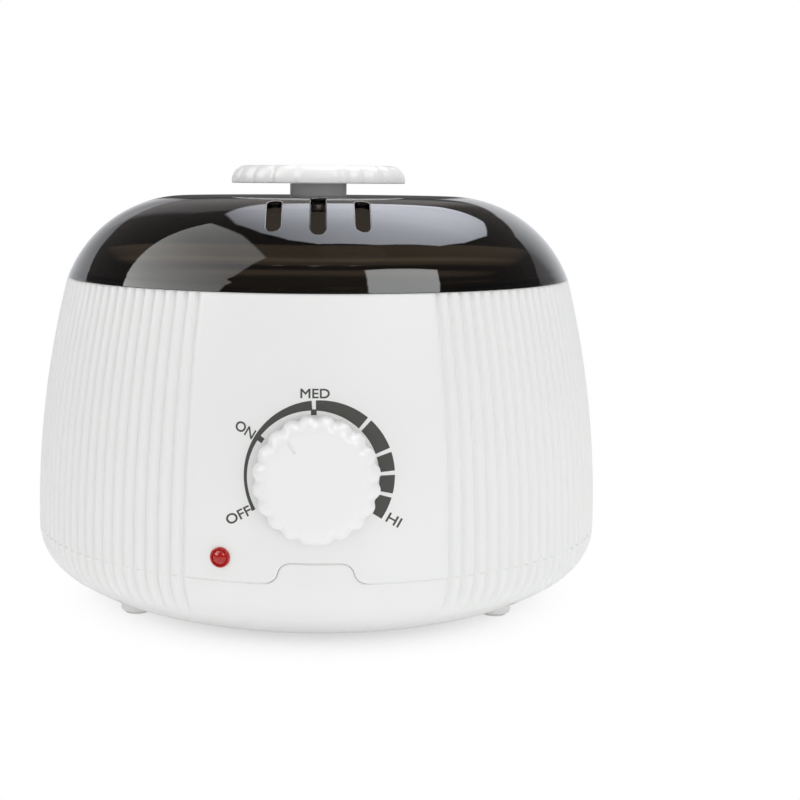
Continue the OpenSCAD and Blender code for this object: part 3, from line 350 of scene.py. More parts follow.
def principled(name, **inputs):
    """A new material with its tree, its shader and its place on the piece. Each input is a value."""
    made = bpy.data.materials.new(name)
    made.use_nodes = True
    tree = made.node_tree
    tree.nodes.clear()
    shader = node(tree, "ShaderNodeBsdfPrincipled", {k.replace("_", " "): v for k, v in inputs.items()})
    node(tree, "ShaderNodeOutputMaterial", (shader,))
    return made, tree, shader, node(tree, "ShaderNodeTexCoord").outputs["Object"]


def faced(tree, shader, colours, mask, gloss, bump):
    """Links a two-colour mix, a gloss and a bump to the shader."""
    tint = node(tree, "ShaderNodeMix", {0: mask, 6: colours[0], 7: colours[1]}, data_type="RGBA")
    tree.links.new(tint.outputs[2], shader.inputs["Base Color"])
    if gloss is not None:
        tree.links.new(gloss.outputs[0], shader.inputs["Roughness"])
    tree.links.new(bump.outputs[0], shader.inputs["Normal"])


def moulded(name, colour, rough, grain=0.35, depth=0.006, cloud=0.02, ior=1.53):
    """Moulded plastic or rubber: the tool's grain in gloss and relief, and faint 20 mm clouds of colour."""
    made, tree, shader, spot = principled(name, IOR=ior)
    patch = node(tree, "ShaderNodeTexNoise", {"Vector": spot, "Scale": 1 / (20 * MM), "Detail": 3.0})
    grit = node(tree, "ShaderNodeTexNoise", {"Vector": spot, "Scale": 1 / (grain * MM), "Detail": 2.0})
    base = linear(colour)
    low, high = ([min(1, c * (1 + side * cloud)) for c in base[:3]] + [1] for side in (-1, 1))
    gloss = node(tree, RANGE, {0: grit, 3: rough - 0.06, 4: rough + 0.06})
    bump = node(tree, "ShaderNodeBump", {"Height": grit, "Strength": 0.5, "Distance": depth * MM})
    faced(tree, shader, (low, high), patch, gloss, bump)
    return made


def worked_metal(name, colour, rough, stretch=(1, 1, 1), scale=0.25, depth=0.003, stain=0.06,
                 around=False):
    """Bare metal: the fine lines of its rolling, drawing or spinning, and slight stains 15 mm across."""
    made, tree, shader, spot = principled(name, Metallic=1.0)
    if around:  # lines that run round Z, and hardly change on the way
        apart = node(tree, "ShaderNodeSeparateXYZ", (spot,)).outputs
        flat = node(tree, VECTOR, (spot, (1, 1, 0)), operation="MULTIPLY")
        reach = node(tree, VECTOR, (flat,), operation="LENGTH").outputs["Value"]
        heading = calc(tree, "ARCTAN2", apart["Y"], apart["X"])
        spot = node(tree, "ShaderNodeCombineXYZ", (
            reach, apart["Z"], calc(tree, "MULTIPLY", heading, 0.6 * MM)))
    lines = node(tree, "ShaderNodeTexNoise", {
        "Vector": node(tree, "ShaderNodeMapping", {"Vector": spot, "Scale": stretch}),
        "Scale": 1 / (scale * MM), "Detail": 3.0})
    patch = node(tree, "ShaderNodeTexNoise", {"Vector": spot, "Scale": 1 / (15 * MM), "Detail": 4.0})
    base = linear(colour)
    gloss = node(tree, RANGE, {0: lines, 3: rough - 0.08, 4: rough + 0.1})
    bump = node(tree, "ShaderNodeBump", {"Height": lines, "Strength": 0.6, "Distance": depth * MM})
    faced(tree, shader, ([c * (1 - stain) for c in base[:3]] + [1], base), patch, gloss, bump)
    return made


def striped(name, colours, spacing, rough, axis=2, edge=0.04):
    """Stripes of a spacing in mm, such as an earth lead's two colours or a woven sleeve's courses."""
    made, tree, shader, spot = principled(name, Roughness=rough)
    apart = node(tree, "ShaderNodeSeparateXYZ", (spot,)).outputs
    run = calc(tree, "MULTIPLY_ADD", apart[(axis + 1) % 3], 0.6, apart[axis])
    wave = calc(tree, "SINE", calc(tree, "MULTIPLY", run, TURN / (spacing * MM)))
    share = node(tree, RANGE, {0: wave, 1: -edge, 2: edge})
    grit = node(tree, "ShaderNodeTexNoise", {"Vector": spot, "Scale": 1 / (0.4 * MM)})
    bump = node(tree, "ShaderNodeBump", {"Height": grit, "Strength": 0.4, "Distance": 0.01 * MM})
    faced(tree, shader, (linear(colours[0]), linear(colours[1])), share, None, bump)
    return made


def smoked_sheet(name, colour):
    """Polished smoked acrylic: fine 5 mm dust films in the gloss, and a slow 45 mm sag of the wall."""
    made, tree, shader, spot = principled(name, Base_Color=linear(colour), IOR=1.49,
                                          Transmission_Weight=1.0)
    dust = node(tree, "ShaderNodeTexNoise", {"Vector": spot, "Scale": 1 / (5.5 * MM), "Detail": 5.0})
    gloss = node(tree, RANGE, {0: dust, 1: 0.35, 2: 0.8, 3: 0.0, 4: 0.03})
    sag = node(tree, "ShaderNodeTexNoise", {"Vector": spot, "Scale": 1 / (45 * MM), "Detail": 1.0})
    bump = node(tree, "ShaderNodeBump", {"Height": sag, "Strength": 0.3, "Distance": 0.04 * MM})
    tree.links.new(gloss.outputs[0], shader.inputs["Roughness"])
    tree.links.new(bump.outputs[0], shader.inputs["Normal"])
    return made


def clear_plastic(name, colour, rough, clear, painted_glow=0.0, ior=1.49):
    """Clear coloured plastic or glass, with the 1 mm ripple of its moulding in the gloss, and a painted glow
    in its own colour where one is asked for.
    """
    made, tree, shader, spot = principled(
        name, Base_Color=linear(colour), IOR=ior, Transmission_Weight=clear,
        Emission_Color=linear(colour), Emission_Strength=painted_glow)
    ripple = node(tree, "ShaderNodeTexNoise", {"Vector": spot, "Scale": 1 / (1.1 * MM)})
    gloss = node(tree, RANGE, {0: ripple, 3: max(0.0, rough - 0.04), 4: rough + 0.04})
    tree.links.new(gloss.outputs[0], shader.inputs["Roughness"])
    return made


# Injection-moulded ABS from a spark-eroded tool: dense cool white, satin, so broad soft highlights
WHITE_ABS = moulded("moulded_white_abs", "#EDEEED", 0.38, grain=0.5, cloud=0.006)
# The same ABS from smoother tools: the lobes of the knob and the dial catch brighter edges. The knob's is
# painted whiter than the housing's as painted light, since it sits over the dark lid, which sends it little
# light
KNOB_ABS_PAINTED_LIGHTER = moulded("polished_white_abs_painted_lighter", "#FCFCFC", 0.30, grain=0.6, depth=0.003, cloud=0.006)
DIAL_ABS = moulded("satin_white_abs", "#F0F0F0", 0.34, grain=0.6, depth=0.003, cloud=0.006)
# The white ABS inside the gap between two mouldings, painted grey as painted shade where hardly any light
# gets in: a thin grey line
PAINTED_PARTING_SHADE = moulded("abs_gap_painted_shade", "#7F8080", 0.7, grain=0.5, cloud=0.05)
# Turned nylon spacer, painted near white, lighter than its own grey, as painted light against the knob's
# shadow, in which it shows a flat light grey
GREY_NYLON_PAINTED_LIGHTER = moulded("turned_grey_nylon_painted_lighter", "#F8F8F8", 0.5, cloud=0.02)
# Moulded nylon of terminal blocks and bushings: near black with a soft sheen
BLACK_NYLON = moulded("moulded_black_nylon", "#1B1B1C", 0.45, cloud=0.08)
# Compression-moulded phenolic of the thermostat's body: dark brown with a cloudy, harder gloss
PHENOLIC = moulded("moulded_brown_phenolic", "#3A241A", 0.35, cloud=0.15, ior=1.6)
# Unpigmented nylon: waxy cream
NATURAL_NYLON = moulded("moulded_natural_nylon", "#E4DFCF", 0.42, cloud=0.03)
# Moulded rubber of the inlet bush: matt grey with a deep fine grain
SOFT_RUBBER = moulded("moulded_grey_rubber", "#6F7072", 0.75, grain=0.4, depth=0.02, cloud=0.06,
                      ior=1.52)
# Silicone rubber of the foot pads: matt, nearly as pale as the feet
PALE_RUBBER = moulded("moulded_pale_silicone", "#DCDCDA", 0.7, grain=0.4, depth=0.015, cloud=0.04,
                      ior=1.43)
# Pad-printed ink of the dial's scale: thin, dull warm grey
PAD_INK = moulded("pad_printed_grey_ink", "#484845", 0.55, grain=0.3, depth=0.002, cloud=0.05,
                  ior=1.5)
# Extruded PVC of the leads: smooth, slightly waxy colours
BROWN_PVC = moulded("extruded_brown_pvc", "#5B3420", 0.4, cloud=0.05)
BLUE_PVC = moulded("extruded_blue_pvc", "#2A5DA8", 0.4, cloud=0.05)
WHITE_PVC = moulded("extruded_white_pvc", "#E6E4DE", 0.4, cloud=0.04)
# Earth lead: green and yellow stripes 3.5 mm wide
EARTH_PVC = striped("extruded_green_yellow_pvc", ("#3B8A3E", "#E3C92B"), 7.0, 0.4)
# Dipped enamel of a resistor with its colour rings, 1.6 mm apart
RESISTOR_ENAMEL = striped("dipped_banded_enamel", ("#C9A877", "#7A2B1E"), 3.2, 0.35, axis=0)
# Woven glass-fibre sleeve: matt courses 1.6 mm apart, about twice the real spacing so that they show
MINERAL_SLEEVE = striped("woven_glass_fibre", ("#D8D4C6", "#BDB7A4"), 1.6, 0.9, edge=0.9)
# Spun aluminium: lines round the pot, 0.35 mm apart, and a soft bright sheen across them
SPUN_ALUMINIUM = worked_metal("spun_aluminium", "#D9D9D8", 0.30, scale=0.35, depth=0.006,
                              around=True)
# Pressed aluminium of the well and shield: duller, without a direction
PRESSED_ALUMINIUM = worked_metal("pressed_aluminium", "#CFCFCD", 0.42, scale=0.4, depth=0.004)
# Zinc-plated steel of screws, nuts and wire: bright blue-grey with light stains
ZINC_STEEL = worked_metal("zinc_plated_steel", "#BFC3C6", 0.28, stretch=(1, 1, 0.2), stain=0.12)
# Heat-stained rolled steel of the band heater: warm grey, lines along the strip
BAND_STEEL = worked_metal("heat_stained_rolled_steel", "#A9A39A", 0.40, stretch=(1, 1, 0.1), stain=0.25)
# Rolled copper of the sensor blade: reddish, darker where it has tarnished
BARE_COPPER = worked_metal("rolled_copper", "#C9825B", 0.35, stretch=(1, 0.1, 1), stain=0.3)
# Moulded and polished smoked acrylic of the lid: mirror reflections with crisp edges over a brown depth
SMOKED = smoked_sheet("moulded_smoked_acrylic", "#38322C")
# The acrylic's cut edge round each slot, dull where the lid is polished: a pale line
SMOKED_EDGE = moulded("dulled_acrylic_edge", "#94918E", 0.35, grain=0.3, depth=0.01, cloud=0.1,
                      ior=1.49)
# Moulded red polycarbonate of the lens: half clear, so deep red with a wet gloss, and a faint painted glow in
# its own red that stands in for light from the lamp behind it
RED_LENS = clear_plastic("moulded_red_polycarbonate", "#C4221D", 0.08, 0.45, painted_glow=0.08, ior=1.58)
# Blown glass of the lamp: clear with a warm tint
LAMP_GLASS = clear_plastic("blown_lamp_glass", "#F2C9A0", 0.05, 0.8, ior=1.52)

BY_SLOT = {
    "aluminium": PRESSED_ALUMINIUM, "black_plastic": BLACK_NYLON, "blue_wire": BLUE_PVC,
    "brown_wire": BROWN_PVC, "copper": BARE_COPPER, "earth_wire": EARTH_PVC, "grey_plastic": GREY_NYLON_PAINTED_LIGHTER,
    "lamp_glass": LAMP_GLASS, "mica_band": BAND_STEEL, "mineral_fibre": MINERAL_SLEEVE,
    "nylon": NATURAL_NYLON, "phenolic": PHENOLIC, "red_lens": RED_LENS,
    "resistor_body": RESISTOR_ENAMEL, "rubber_grey": SOFT_RUBBER, "smoked_plastic": SMOKED,
    "steel": ZINC_STEEL, "white_abs": WHITE_ABS, "white_wire": WHITE_PVC,
}
for made in NODES.values():
    for place in made.material_slots:
        place.material = BY_SLOT[place.material.name.split(".")[0]]
NODES["wax_pot"].material_slots[0].material = SPUN_ALUMINIUM
NODES["foot_pads"].material_slots[0].material = PALE_RUBBER


# ---- Camera, at the photograph's angle ----

CAMERA_PLACE, CAMERA_DOWN, CAMERA_ROLL = (0, -0.4956, 0.13796), 8.427, 0.368  # metres, degrees
CAMERA_LENS, CAMERA_FILM, CAMERA_SHIFT = 66.28, 36.0, (0.1037, -0.0034)


def take_camera():
    lens = bpy.data.cameras.new("camera")
    lens.lens, lens.sensor_width = CAMERA_LENS, CAMERA_FILM
    lens.shift_x, lens.shift_y = CAMERA_SHIFT
    lens.clip_start, lens.clip_end = 0.01, 50.0
    made = in_scene("camera", lens)
    made.matrix_world = (Matrix.Translation(CAMERA_PLACE)
                         @ Matrix.Rotation(math.radians(90 - CAMERA_DOWN), 4, "X")
                         @ Matrix.Rotation(math.radians(CAMERA_ROLL), 4, "Z"))
    bpy.context.scene.camera = made


take_camera()


# ---- Ribbed housing and base ----

def rib_fade(z):
    """Ribs run full depth down to the curve of the base, then die out."""
    t = min(1.0, max(0.0, (z - RIB_END_Z) / RIB_FADE_H))
    return t * t * (3 - 2 * t)


def inward(points):
    """Section points that the ribs' grooves cut straight into the wall."""
    return [(r, z, -nr * rib_fade(z), -nz * rib_fade(z)) for r, z, nr, nz in points]


def side_angle(z):
    """Angle on the side's arc at height z, in degrees."""
    return math.degrees(math.asin((z - SEAM_Z) / SIDE_ARC_R))


def ribbed(name, section):
    """A turned solid with the ribs' grooves all round but for the plain front."""
    return turned(name, section, WHITE_ABS, columns=RIB_COLUMNS * RIBS, flutes=RIBS, depth=RIB_DEPTH,
                  narrowness=RIB_NARROWNESS, plain=PLAIN_HALF_A, crowding=RIB_CROWDING)


def tab_half_path():
    """Right half of the tab's outline, from its foot on the seam to its top, as (x, z)."""
    steps, turn = 10, math.acos(1 - TAB_H / 2 / TAB_ARC_R)
    foot = [(TAB_FOOT_HALF - TAB_ARC_R * math.sin(turn * i / steps),
             SEAM_Z + TAB_ARC_R * (1 - math.cos(turn * i / steps))) for i in range(steps + 1)]
    top = [(TAB_TOP_HALF + TAB_ARC_R * math.sin(turn * i / steps),
            SEAM_Z + TAB_H - TAB_ARC_R * (1 - math.cos(turn * i / steps)))
           for i in range(steps, -1, -1)]
    return foot + top[1:]


def seam_path():
    """The parting line between housing and base: over the tab in front, level all the way round behind."""
    half = tab_half_path()
    over = half + [(x, SEAM_Z + TAB_H) for x in (5, 3, 1, -1, -3, -5)]
    over += [(-x, z) for x, z in reversed(half)]
    path = [on_panel(x, z, -SKIN) for x, z in over]
    start, r, count = math.asin(TAB_FOOT_HALF / BODY_R), BODY_R - SKIN, 330
    for i in range(1, count):
        a = -start - (TURN - 2 * start) * i / count
        path.append(Vector((r * math.sin(a), -r * math.cos(a), SEAM_Z)) * MM)
    return path


def level_path(r, z, count=360):
    """A level circle round the object's axis."""
    angles = [TURN * i / count for i in range(count)]
    return [Vector((r * math.sin(a), -r * math.cos(a), z)) * MM for a in angles]


def make_housing():
    """The upper housing: the construction's shell inside a ribbed skin, which reaches past both its edges."""
    low, high = 19, 112
    side = arc(SIDE_C, SEAM_Z, SIDE_ARC_R, side_angle(low), side_angle(high), 31, SKIN)
    rows = [(0, low, 0, 0)] + inward(side) + [(0, high, 0, 0)]
    shell = carved(cad_copy("housing", "body_shell"), ribbed("housing_skin", rows), "INTERSECT")
    # the parting line's groove, its faces painted grey as painted shade
    carved(shell, tube("housing_parting", seam_path(), PARTING_R, PAINTED_PARTING_SHADE), "DIFFERENCE")
    edge = level_path(side_r(LID_SEAM_Z), LID_SEAM_Z)
    carved(shell, tube("housing_top_edge", edge, TOP_EDGE_R, WHITE_ABS), "DIFFERENCE")
    dressed(shell, WHITE_ABS, "housing", "white_abs", "body_shell", second=PAINTED_PARTING_SHADE)


def make_base():
    """The lower shell: the ribbed skin dies out on its curves, and leaves room for the four feet."""
    high = 33
    side = arc(SIDE_C, SEAM_Z, SIDE_ARC_R, side_angle(high), 0, 5, SKIN)
    tight = arc(*BASE_TIGHT, 0, BASE_TANGENT, 14, SKIN)
    wide = arc(*BASE_WIDE, BASE_TANGENT, -90, 10, SKIN)
    rows = [(0, high, 0, 0)] + inward(side[:-1] + tight[:-1] + wide) + [(0, BASE_FLOOR_Z + SKIN, 0, 0)]
    skin = ribbed("base_skin", rows)
    foot, head = FOOT_ROOM_Z
    room = smooth([(0, foot), (FOOT_ROOM_R, foot), (FOOT_ROOM_R, head), (0, head)])
    for x in (-FOOT_X, FOOT_X):
        for y in (-FOOT_Y, FOOT_Y):
            boss = turned("foot_room", room, WHITE_ABS, columns=48)
            boss.data.transform(Matrix.Translation((x * MM, y * MM, 0)))
            carved(skin, boss, "UNION")
    shell = carved(cad_copy("base", "base_shell"), skin, "INTERSECT")
    # the parting line's groove, its faces painted grey as painted shade
    carved(shell, tube("base_parting", seam_path(), PARTING_R, PAINTED_PARTING_SHADE), "DIFFERENCE")
    dressed(shell, WHITE_ABS, "housing", "white_abs", "base_shell", second=PAINTED_PARTING_SHADE)


# ---- Lid ----

def stadium(x, y0, y1, w, steps=12):
    """Outline of a slot of width w between y0 and y1, seen from above."""
    h = w / 2
    ends = [(x + h * math.cos(math.pi * i / steps), y1 - h + h * math.sin(math.pi * i / steps))
            for i in range(steps + 1)]
    ends += [(x - h * math.cos(math.pi * i / steps), y0 + h - h * math.sin(math.pi * i / steps))
             for i in range(steps + 1)]
    out = []
    for i, (ax, ay) in enumerate(ends):  # long runs get extra points, so a rim can follow the dome
        bx, by = ends[(i + 1) % len(ends)]
        parts = max(1, round(math.hypot(bx - ax, by - ay) / 1.2))
        out += [(ax + (bx - ax) * k / parts, ay + (by - ay) * k / parts) for k in range(parts)]
    return out


def prism(name, outline, z0, z1):
    """An upright prism over an outline of (x, y)."""
    count = len(outline)
    verts = [Vector((x, y, z)) * MM for z in (z0, z1) for x, y in outline]
    faces = [list(range(count))[::-1], list(range(count, 2 * count))]
    faces += [[i, (i + 1) % count, count + (i + 1) % count, count + i] for i in range(count)]
    return clean(mesh_object(name, verts, faces), outward=True)


def slots():
    """Outlines of the three vent slots, seen from above."""
    for x, length, back in SLOTS:
        y0 = back - math.sqrt(SLOT_OUTER_R ** 2 - x * x)
        yield stadium(x, y0, y0 + length, SLOT_W)


def with_witness(points):
    """The shallow witness line that the mould leaves above the rim, where reflections fold over."""
    out = []
    for r, z, nr, nz in points:
        dent = WITNESS_DEPTH * math.exp(-((z - LID_SEAM_Z - WITNESS_H) / WITNESS_HALF_W) ** 2)
        out.append((r - nr * dent, z - nz * dent, 0, 0))
    return out


def make_lid():
    """The dome with its wall, skirt, screw hole, witness line and vent slots."""
    inner = LID_ARC_R - LID_WALL
    outer_low = math.degrees(math.asin((LID_SEAM_Z - LID_C_Z) / LID_ARC_R))
    inner_z = LID_SEAM_Z + SKIRT_H
    inner_low = math.degrees(math.asin((inner_z - LID_C_Z) / inner))
    skirt_out, skirt_foot, rim_z = SKIRT_IN_R + SKIRT_T, LID_SEAM_Z - SKIRT_H, LID_SEAM_Z + SKIN
    top, ceiling = LID_TOP_Z - SKIN, LID_TOP_Z - LID_WALL
    # the outer surface from its rim up, in close rows where the witness line runs, and the inner one down
    near_rim = arc(LID_FLAT_R, LID_C_Z, LID_ARC_R, outer_low + 0.35, outer_low + 11, 48, SKIN)
    over = arc(LID_FLAT_R, LID_C_Z, LID_ARC_R, outer_low + 12, 90, 52, SKIN)
    under = arc(LID_FLAT_R, LID_C_Z, inner, 90, inner_low, 48)
    rows = smooth([(SKIRT_IN_R, skirt_foot), (skirt_out, skirt_foot), (skirt_out, rim_z),
                   (side_r(LID_SEAM_Z) - LID_RIM_EASE, rim_z)])
    rows += with_witness(near_rim) + smooth(over)
    rows += smooth([(r, top) for r in (36, 28, 20, 12, 6, LID_HOLE_R)])
    rows += smooth([(r, ceiling) for r in (LID_HOLE_R, 12, 28)])
    rows += smooth(under) + smooth([(SKIRT_IN_R, inner_z), (SKIRT_IN_R, skirt_foot)])
    lid = turned("lid", rows, SMOKED, columns=320)
    for outline in slots():
        carved(lid, prism("slot_cutter", outline, *SLOT_CUT_Z), "DIFFERENCE")
        rim = [Vector((x, y, lid_z(math.hypot(x, y)) - SKIN)) * MM for x, y in outline]
        carved(lid, tube("slot_rim", rim, SLOT_RIM_R, SMOKED_EDGE), "DIFFERENCE")
    dressed(lid, SMOKED, "lid", "smoked_plastic", "lid_dome", sharp=30, second=SMOKED_EDGE)


def make_lid_knob():
    """The lid's flat knob: lobes round a rounded edge, and a blind screw hole below."""
    top, hole_top = KNOB_Z + KNOB_T, KNOB_Z + KNOB_HOLE_DEPTH
    edge = arc(KNOB_R - KNOB_EDGE_R, top - KNOB_EDGE_R, KNOB_EDGE_R, 0, 90, 14, SKIN)
    rows = smooth([(0, hole_top), (KNOB_HOLE_R, hole_top), (KNOB_HOLE_R, KNOB_Z)])
    rows += [(KNOB_R - KNOB_CHAMFER[0], KNOB_Z, -1, 0), (KNOB_R - SKIN, KNOB_Z + KNOB_CHAMFER[1], -1, 0)]
    rows += [(r, z, -min(1.0, nr * KNOB_GROWTH), 0) for r, z, nr, _ in edge]
    rows += smooth([(r, top - SKIN) for r in (18, 12, 6, 0)])
    knob = turned("lid_knob_top", rows, KNOB_ABS_PAINTED_LIGHTER, columns=KNOB_LOBES * 16, flutes=KNOB_LOBES,
                  depth=KNOB_LOBE_DEPTH, narrowness=2.2, crowding=0.3)
    dressed(knob, KNOB_ABS_PAINTED_LIGHTER, "lid", "white_abs", "lid_knob", sharp=40)


# ---- Dial and its printed scale ----

def make_dial():
    """The dial: hollow with a hub for the spindle, lobes round its edge, and a cut mark as its pointer."""
    top, foot = DIAL_GAP + DIAL_H, DIAL_GAP + SKIN
    edge = arc(DIAL_R - DIAL_EDGE_R, top - DIAL_EDGE_R, DIAL_EDGE_R, 0, 90, 14, SKIN)
    rows = smooth([(0, DIAL_BORE_Z), (DIAL_BORE_R, DIAL_BORE_Z), (DIAL_BORE_R, DIAL_HUB_Z),
                   (DIAL_HUB_R, DIAL_HUB_Z), (DIAL_HUB_R, DIAL_HOLLOW_Z), (DIAL_IN_R, DIAL_HOLLOW_Z),
                   (DIAL_IN_R, foot)])
    rows += [(DIAL_R - DIAL_CHAMFER, foot, -1, 0), (DIAL_R - SKIN, DIAL_GAP + DIAL_CHAMFER, -1, 0),
             (DIAL_R - SKIN, 5, -1, 0)]
    rows += [(r, z, -min(1.0, nr * DIAL_GROWTH), 0) for r, z, nr, _ in edge]
    rows += smooth([(r, top - SKIN) for r in (8, 4, 0)])
    dial = turned("dial", rows, DIAL_ABS, columns=DIAL_LOBES * 16, flutes=DIAL_LOBES,
                  depth=DIAL_LOBE_DEPTH, narrowness=1.6, crowding=0.2)
    outline = stadium(0, POINTER_R - POINTER_L / 2, POINTER_R + POINTER_L / 2, POINTER_W)
    mark = prism("pointer_cutter", outline, top - POINTER_DEPTH, top + 1)
    mark.data.transform(Matrix.Rotation(math.radians(POINTER_A - 90), 4, "Z"))
    carved(dial, mark, "DIFFERENCE")
    dial.data.transform(side_frame(DIAL_Z))
    dressed(dial, DIAL_ABS, "dial", "white_abs", "dial_knob", sharp=40)


# The scale's two circles as (x, z, radius), and its middle, from which its angles are taken in degrees
SCALE_OUTER, SCALE_INNER, SCALE_MIDDLE = (0.8, 55.65, 21.25), (-0.95, 55.45, 18.6), (0.2, 55.4)
SCALE_ENDS, SCALE_GAPS = (208.0, -33.0), (93.0, 48.2, 20.1, 2.9, -14.2)
GAP_W, GAP_R = 1.1, 20.0  # width of a gap, and the radius at which it is taken
# Index blocks: middle (x, z), turn in degrees, and half a side
SCALE_BLOCKS = ((-0.87, 73.6, 0.0, 0.8), (-15.7, 65.8, 54.0, 0.8), (-17.9, 46.2, 118.0, 0.45))
# Words of the scale: middle (x, z), width and height, and turn in degrees
SCALE_WORDS = (("OFF", -21.9, 44.2, 7.6, 2.75, 28), ("ON", -20.1, 68.35, 5.7, 2.8, -31),
               ("MED", -0.55, 78.75, 8.1, 2.5, 0), ("HI", 21.9, 43.1, 4.1, 2.75, -30))
INK_SPREAD, INK_PROUD = 0.08, 0.04
LONGEST_EDGE = 0.9  # so that the flat letters lie down on the curved front


def reach_of(circle, a):
    """Distance from the scale's middle to a circle, along angle a."""
    ox, oz = circle[0] - SCALE_MIDDLE[0], circle[1] - SCALE_MIDDLE[1]
    along = ox * math.cos(a) + oz * math.sin(a)
    return along + math.sqrt(circle[2] ** 2 - ox * ox - oz * oz + along * along)


def scale_band(a0, a1, across=5):
    """Points and faces of one stretch of the crescent, in x and z."""
    steps = max(2, round(abs(a1 - a0) / 1.2))
    points, faces = [], []
    for i in range(steps + 1):
        a = math.radians(a0 + (a1 - a0) * i / steps)
        low, high = reach_of(SCALE_INNER, a), reach_of(SCALE_OUTER, a)
        for k in range(across):
            r = low + (high - low) * k / (across - 1)
            points.append((SCALE_MIDDLE[0] + r * math.cos(a), SCALE_MIDDLE[1] + r * math.sin(a)))
    for i in range(steps):
        for k in range(across - 1):
            j = i * across + k
            faces.append((j, j + 1, j + across + 1, j + across))
    return points, faces


def laid(points, x, z, turn):
    """Points turned by so many degrees and moved to the middle (x, z)."""
    c, s = math.cos(math.radians(turn)), math.sin(math.radians(turn))
    return [(x + u * c - v * s, z + u * s + v * c) for u, v in points]


def word(text, x, z, w, h, turn):
    """Points and faces of a printed word, fitted to its width and height."""
    curve = bpy.data.curves.new(text, "FONT")
    curve.body, curve.resolution_u = text, 4
    made = in_scene(text, curve)
    mesh = plain_mesh(made)
    bpy.data.objects.remove(made)
    bm = bmesh.new()
    bm.from_mesh(mesh)
    bmesh.ops.triangulate(bm, faces=bm.faces)
    lows = [min(v.co[i] for v in bm.verts) for i in (0, 1)]
    spans = [max(v.co[i] for v in bm.verts) - lows[i] for i in (0, 1)]
    for v in bm.verts:
        v.co = ((v.co.x - lows[0]) / spans[0] * w - w / 2, (v.co.y - lows[1]) / spans[1] * h - h / 2, 0)
    thicker = {}
    for v in bm.verts:  # the ink spreads a little past the letter's outline
        out = Vector((0, 0, 0))
        for e in v.link_edges:
            if len(e.link_faces) == 1:
                away = (e.verts[1].co - e.verts[0].co).cross(Vector((0, 0, 1))).normalized()
                inside = e.link_faces[0].calc_center_median() - e.verts[0].co
                out += -away if away.dot(inside) > 0 else away
        if out.length > 1e-6:
            thicker[v] = out.normalized() * INK_SPREAD
    for v, move in thicker.items():
        v.co += move
    for _ in range(2):
        long = [e for e in bm.edges if e.calc_length() > LONGEST_EDGE]
        bmesh.ops.subdivide_edges(bm, edges=long, cuts=1)
        bmesh.ops.triangulate(bm, faces=bm.faces)
    bm.verts.index_update()
    points = laid([v.co.xy for v in bm.verts], x, z, turn)
    faces = [[v.index for v in f.verts] for f in bm.faces]
    bm.free()
    return points, faces


def make_scale():
    """The dial's printed scale: a crescent with five gaps, three index blocks and four words."""
    edges = [SCALE_ENDS[0]]
    for a in SCALE_GAPS:
        half = math.degrees(GAP_W / 2 / GAP_R)
        edges += [a + half, a - half]
    edges.append(SCALE_ENDS[1])
    parts = [scale_band(edges[i], edges[i + 1]) for i in range(0, len(edges), 2)]
    for x, z, turn, half in SCALE_BLOCKS:
        square = ((-half, -half), (half, -half), (half, half), (-half, half))
        parts.append((laid(square, x, z, turn), [(0, 1, 2, 3)]))
    parts += [word(*w) for w in SCALE_WORDS]
    verts, faces = [], []
    for points, patch in parts:
        start = len(verts)
        verts += [on_panel(x, z, -SKIN + INK_PROUD) for x, z in points]
        faces += [[start + i for i in f] for f in patch]
    scale = mesh_object("dial_scale", verts, faces)
    bm = bmesh.new()
    bm.from_mesh(scale.data)
    for f in bm.faces:  # the print faces the front
        if f.normal.y > 0:
            f.normal_flip()
    bm.to_mesh(scale.data)
    bm.free()
    dressed(scale, PAD_INK, "housing", "black_plastic")


# ---- Indicator lens ----

def make_lens():
    """The lens: a hollow stem for the lamp, a flange with a rounded edge, a groove and a low dome."""
    seat, stem = -SKIN + 0.01, LENS_STEM_END
    rows = smooth([(0, -1), (LENS_BORE_R, -1), (LENS_BORE_R, stem), (LENS_STEM_R, stem),
                   (LENS_STEM_R, seat), (LENS_FLANGE_R, seat)])
    rows += smooth(arc(LENS_FLANGE_R - LENS_EDGE_R, 0.4, LENS_EDGE_R, 0, 90, 5)) + smooth(LENS_GROOVE)
    rows += smooth(arc(0, LENS_DOME_Z, LENS_DOME_R, 27, 90, 16))
    lens = turned("lens", rows, RED_LENS, columns=64)
    lens.data.transform(side_frame(LENS_Z, -LENS_AZ))
    dressed(lens, RED_LENS, "housing", "red_lens", "indicator_lens", sharp=50)


make_housing()
make_base()
make_lid()
make_lid_knob()
make_dial()
make_scale()
make_lens()


# ---- Stage and light ----

# Soft boxes that gloss shows. Corners run anticlockwise, as (across, away) over the height above the
# object, or for the low ones (across, up) over the distance behind it.
LONG_BOX = [(-0.32, 0.86), (-0.32, 0.46), (-0.24, 0.18), (-0.13, 0.0), (0.0, -0.08), (0.3, -0.03),
            (0.64, 0.19), (0.77, 0.44), (0.86, 0.88), (0.73, 1.36), (0.41, 1.73), (-0.16, 1.48)]
LEFT_BOX = [(-0.37, 0.6), (-1.2, 0.54), (-1.2, -1.03), (-0.25, -0.25), (-0.34, 0.18)]
LEFT_BOX_END = [(-0.9, 0.55), (-2.8, 0.5), (-3.2, -1.4), (-1.68, -1.4), (-0.9, -0.79)]
RIGHT_BOX = [(0.33, -0.54), (0.53, -1.12), (1.0, -1.6), (1.42, -0.82), (0.87, -0.26)]
BACK_RIGHT = [(0.1, -0.1), (1.8, -0.1), (1.72, 0.42), (1.36, 0.57), (0.7, 0.6), (0.36, 0.42), (0.11, 0.2)]
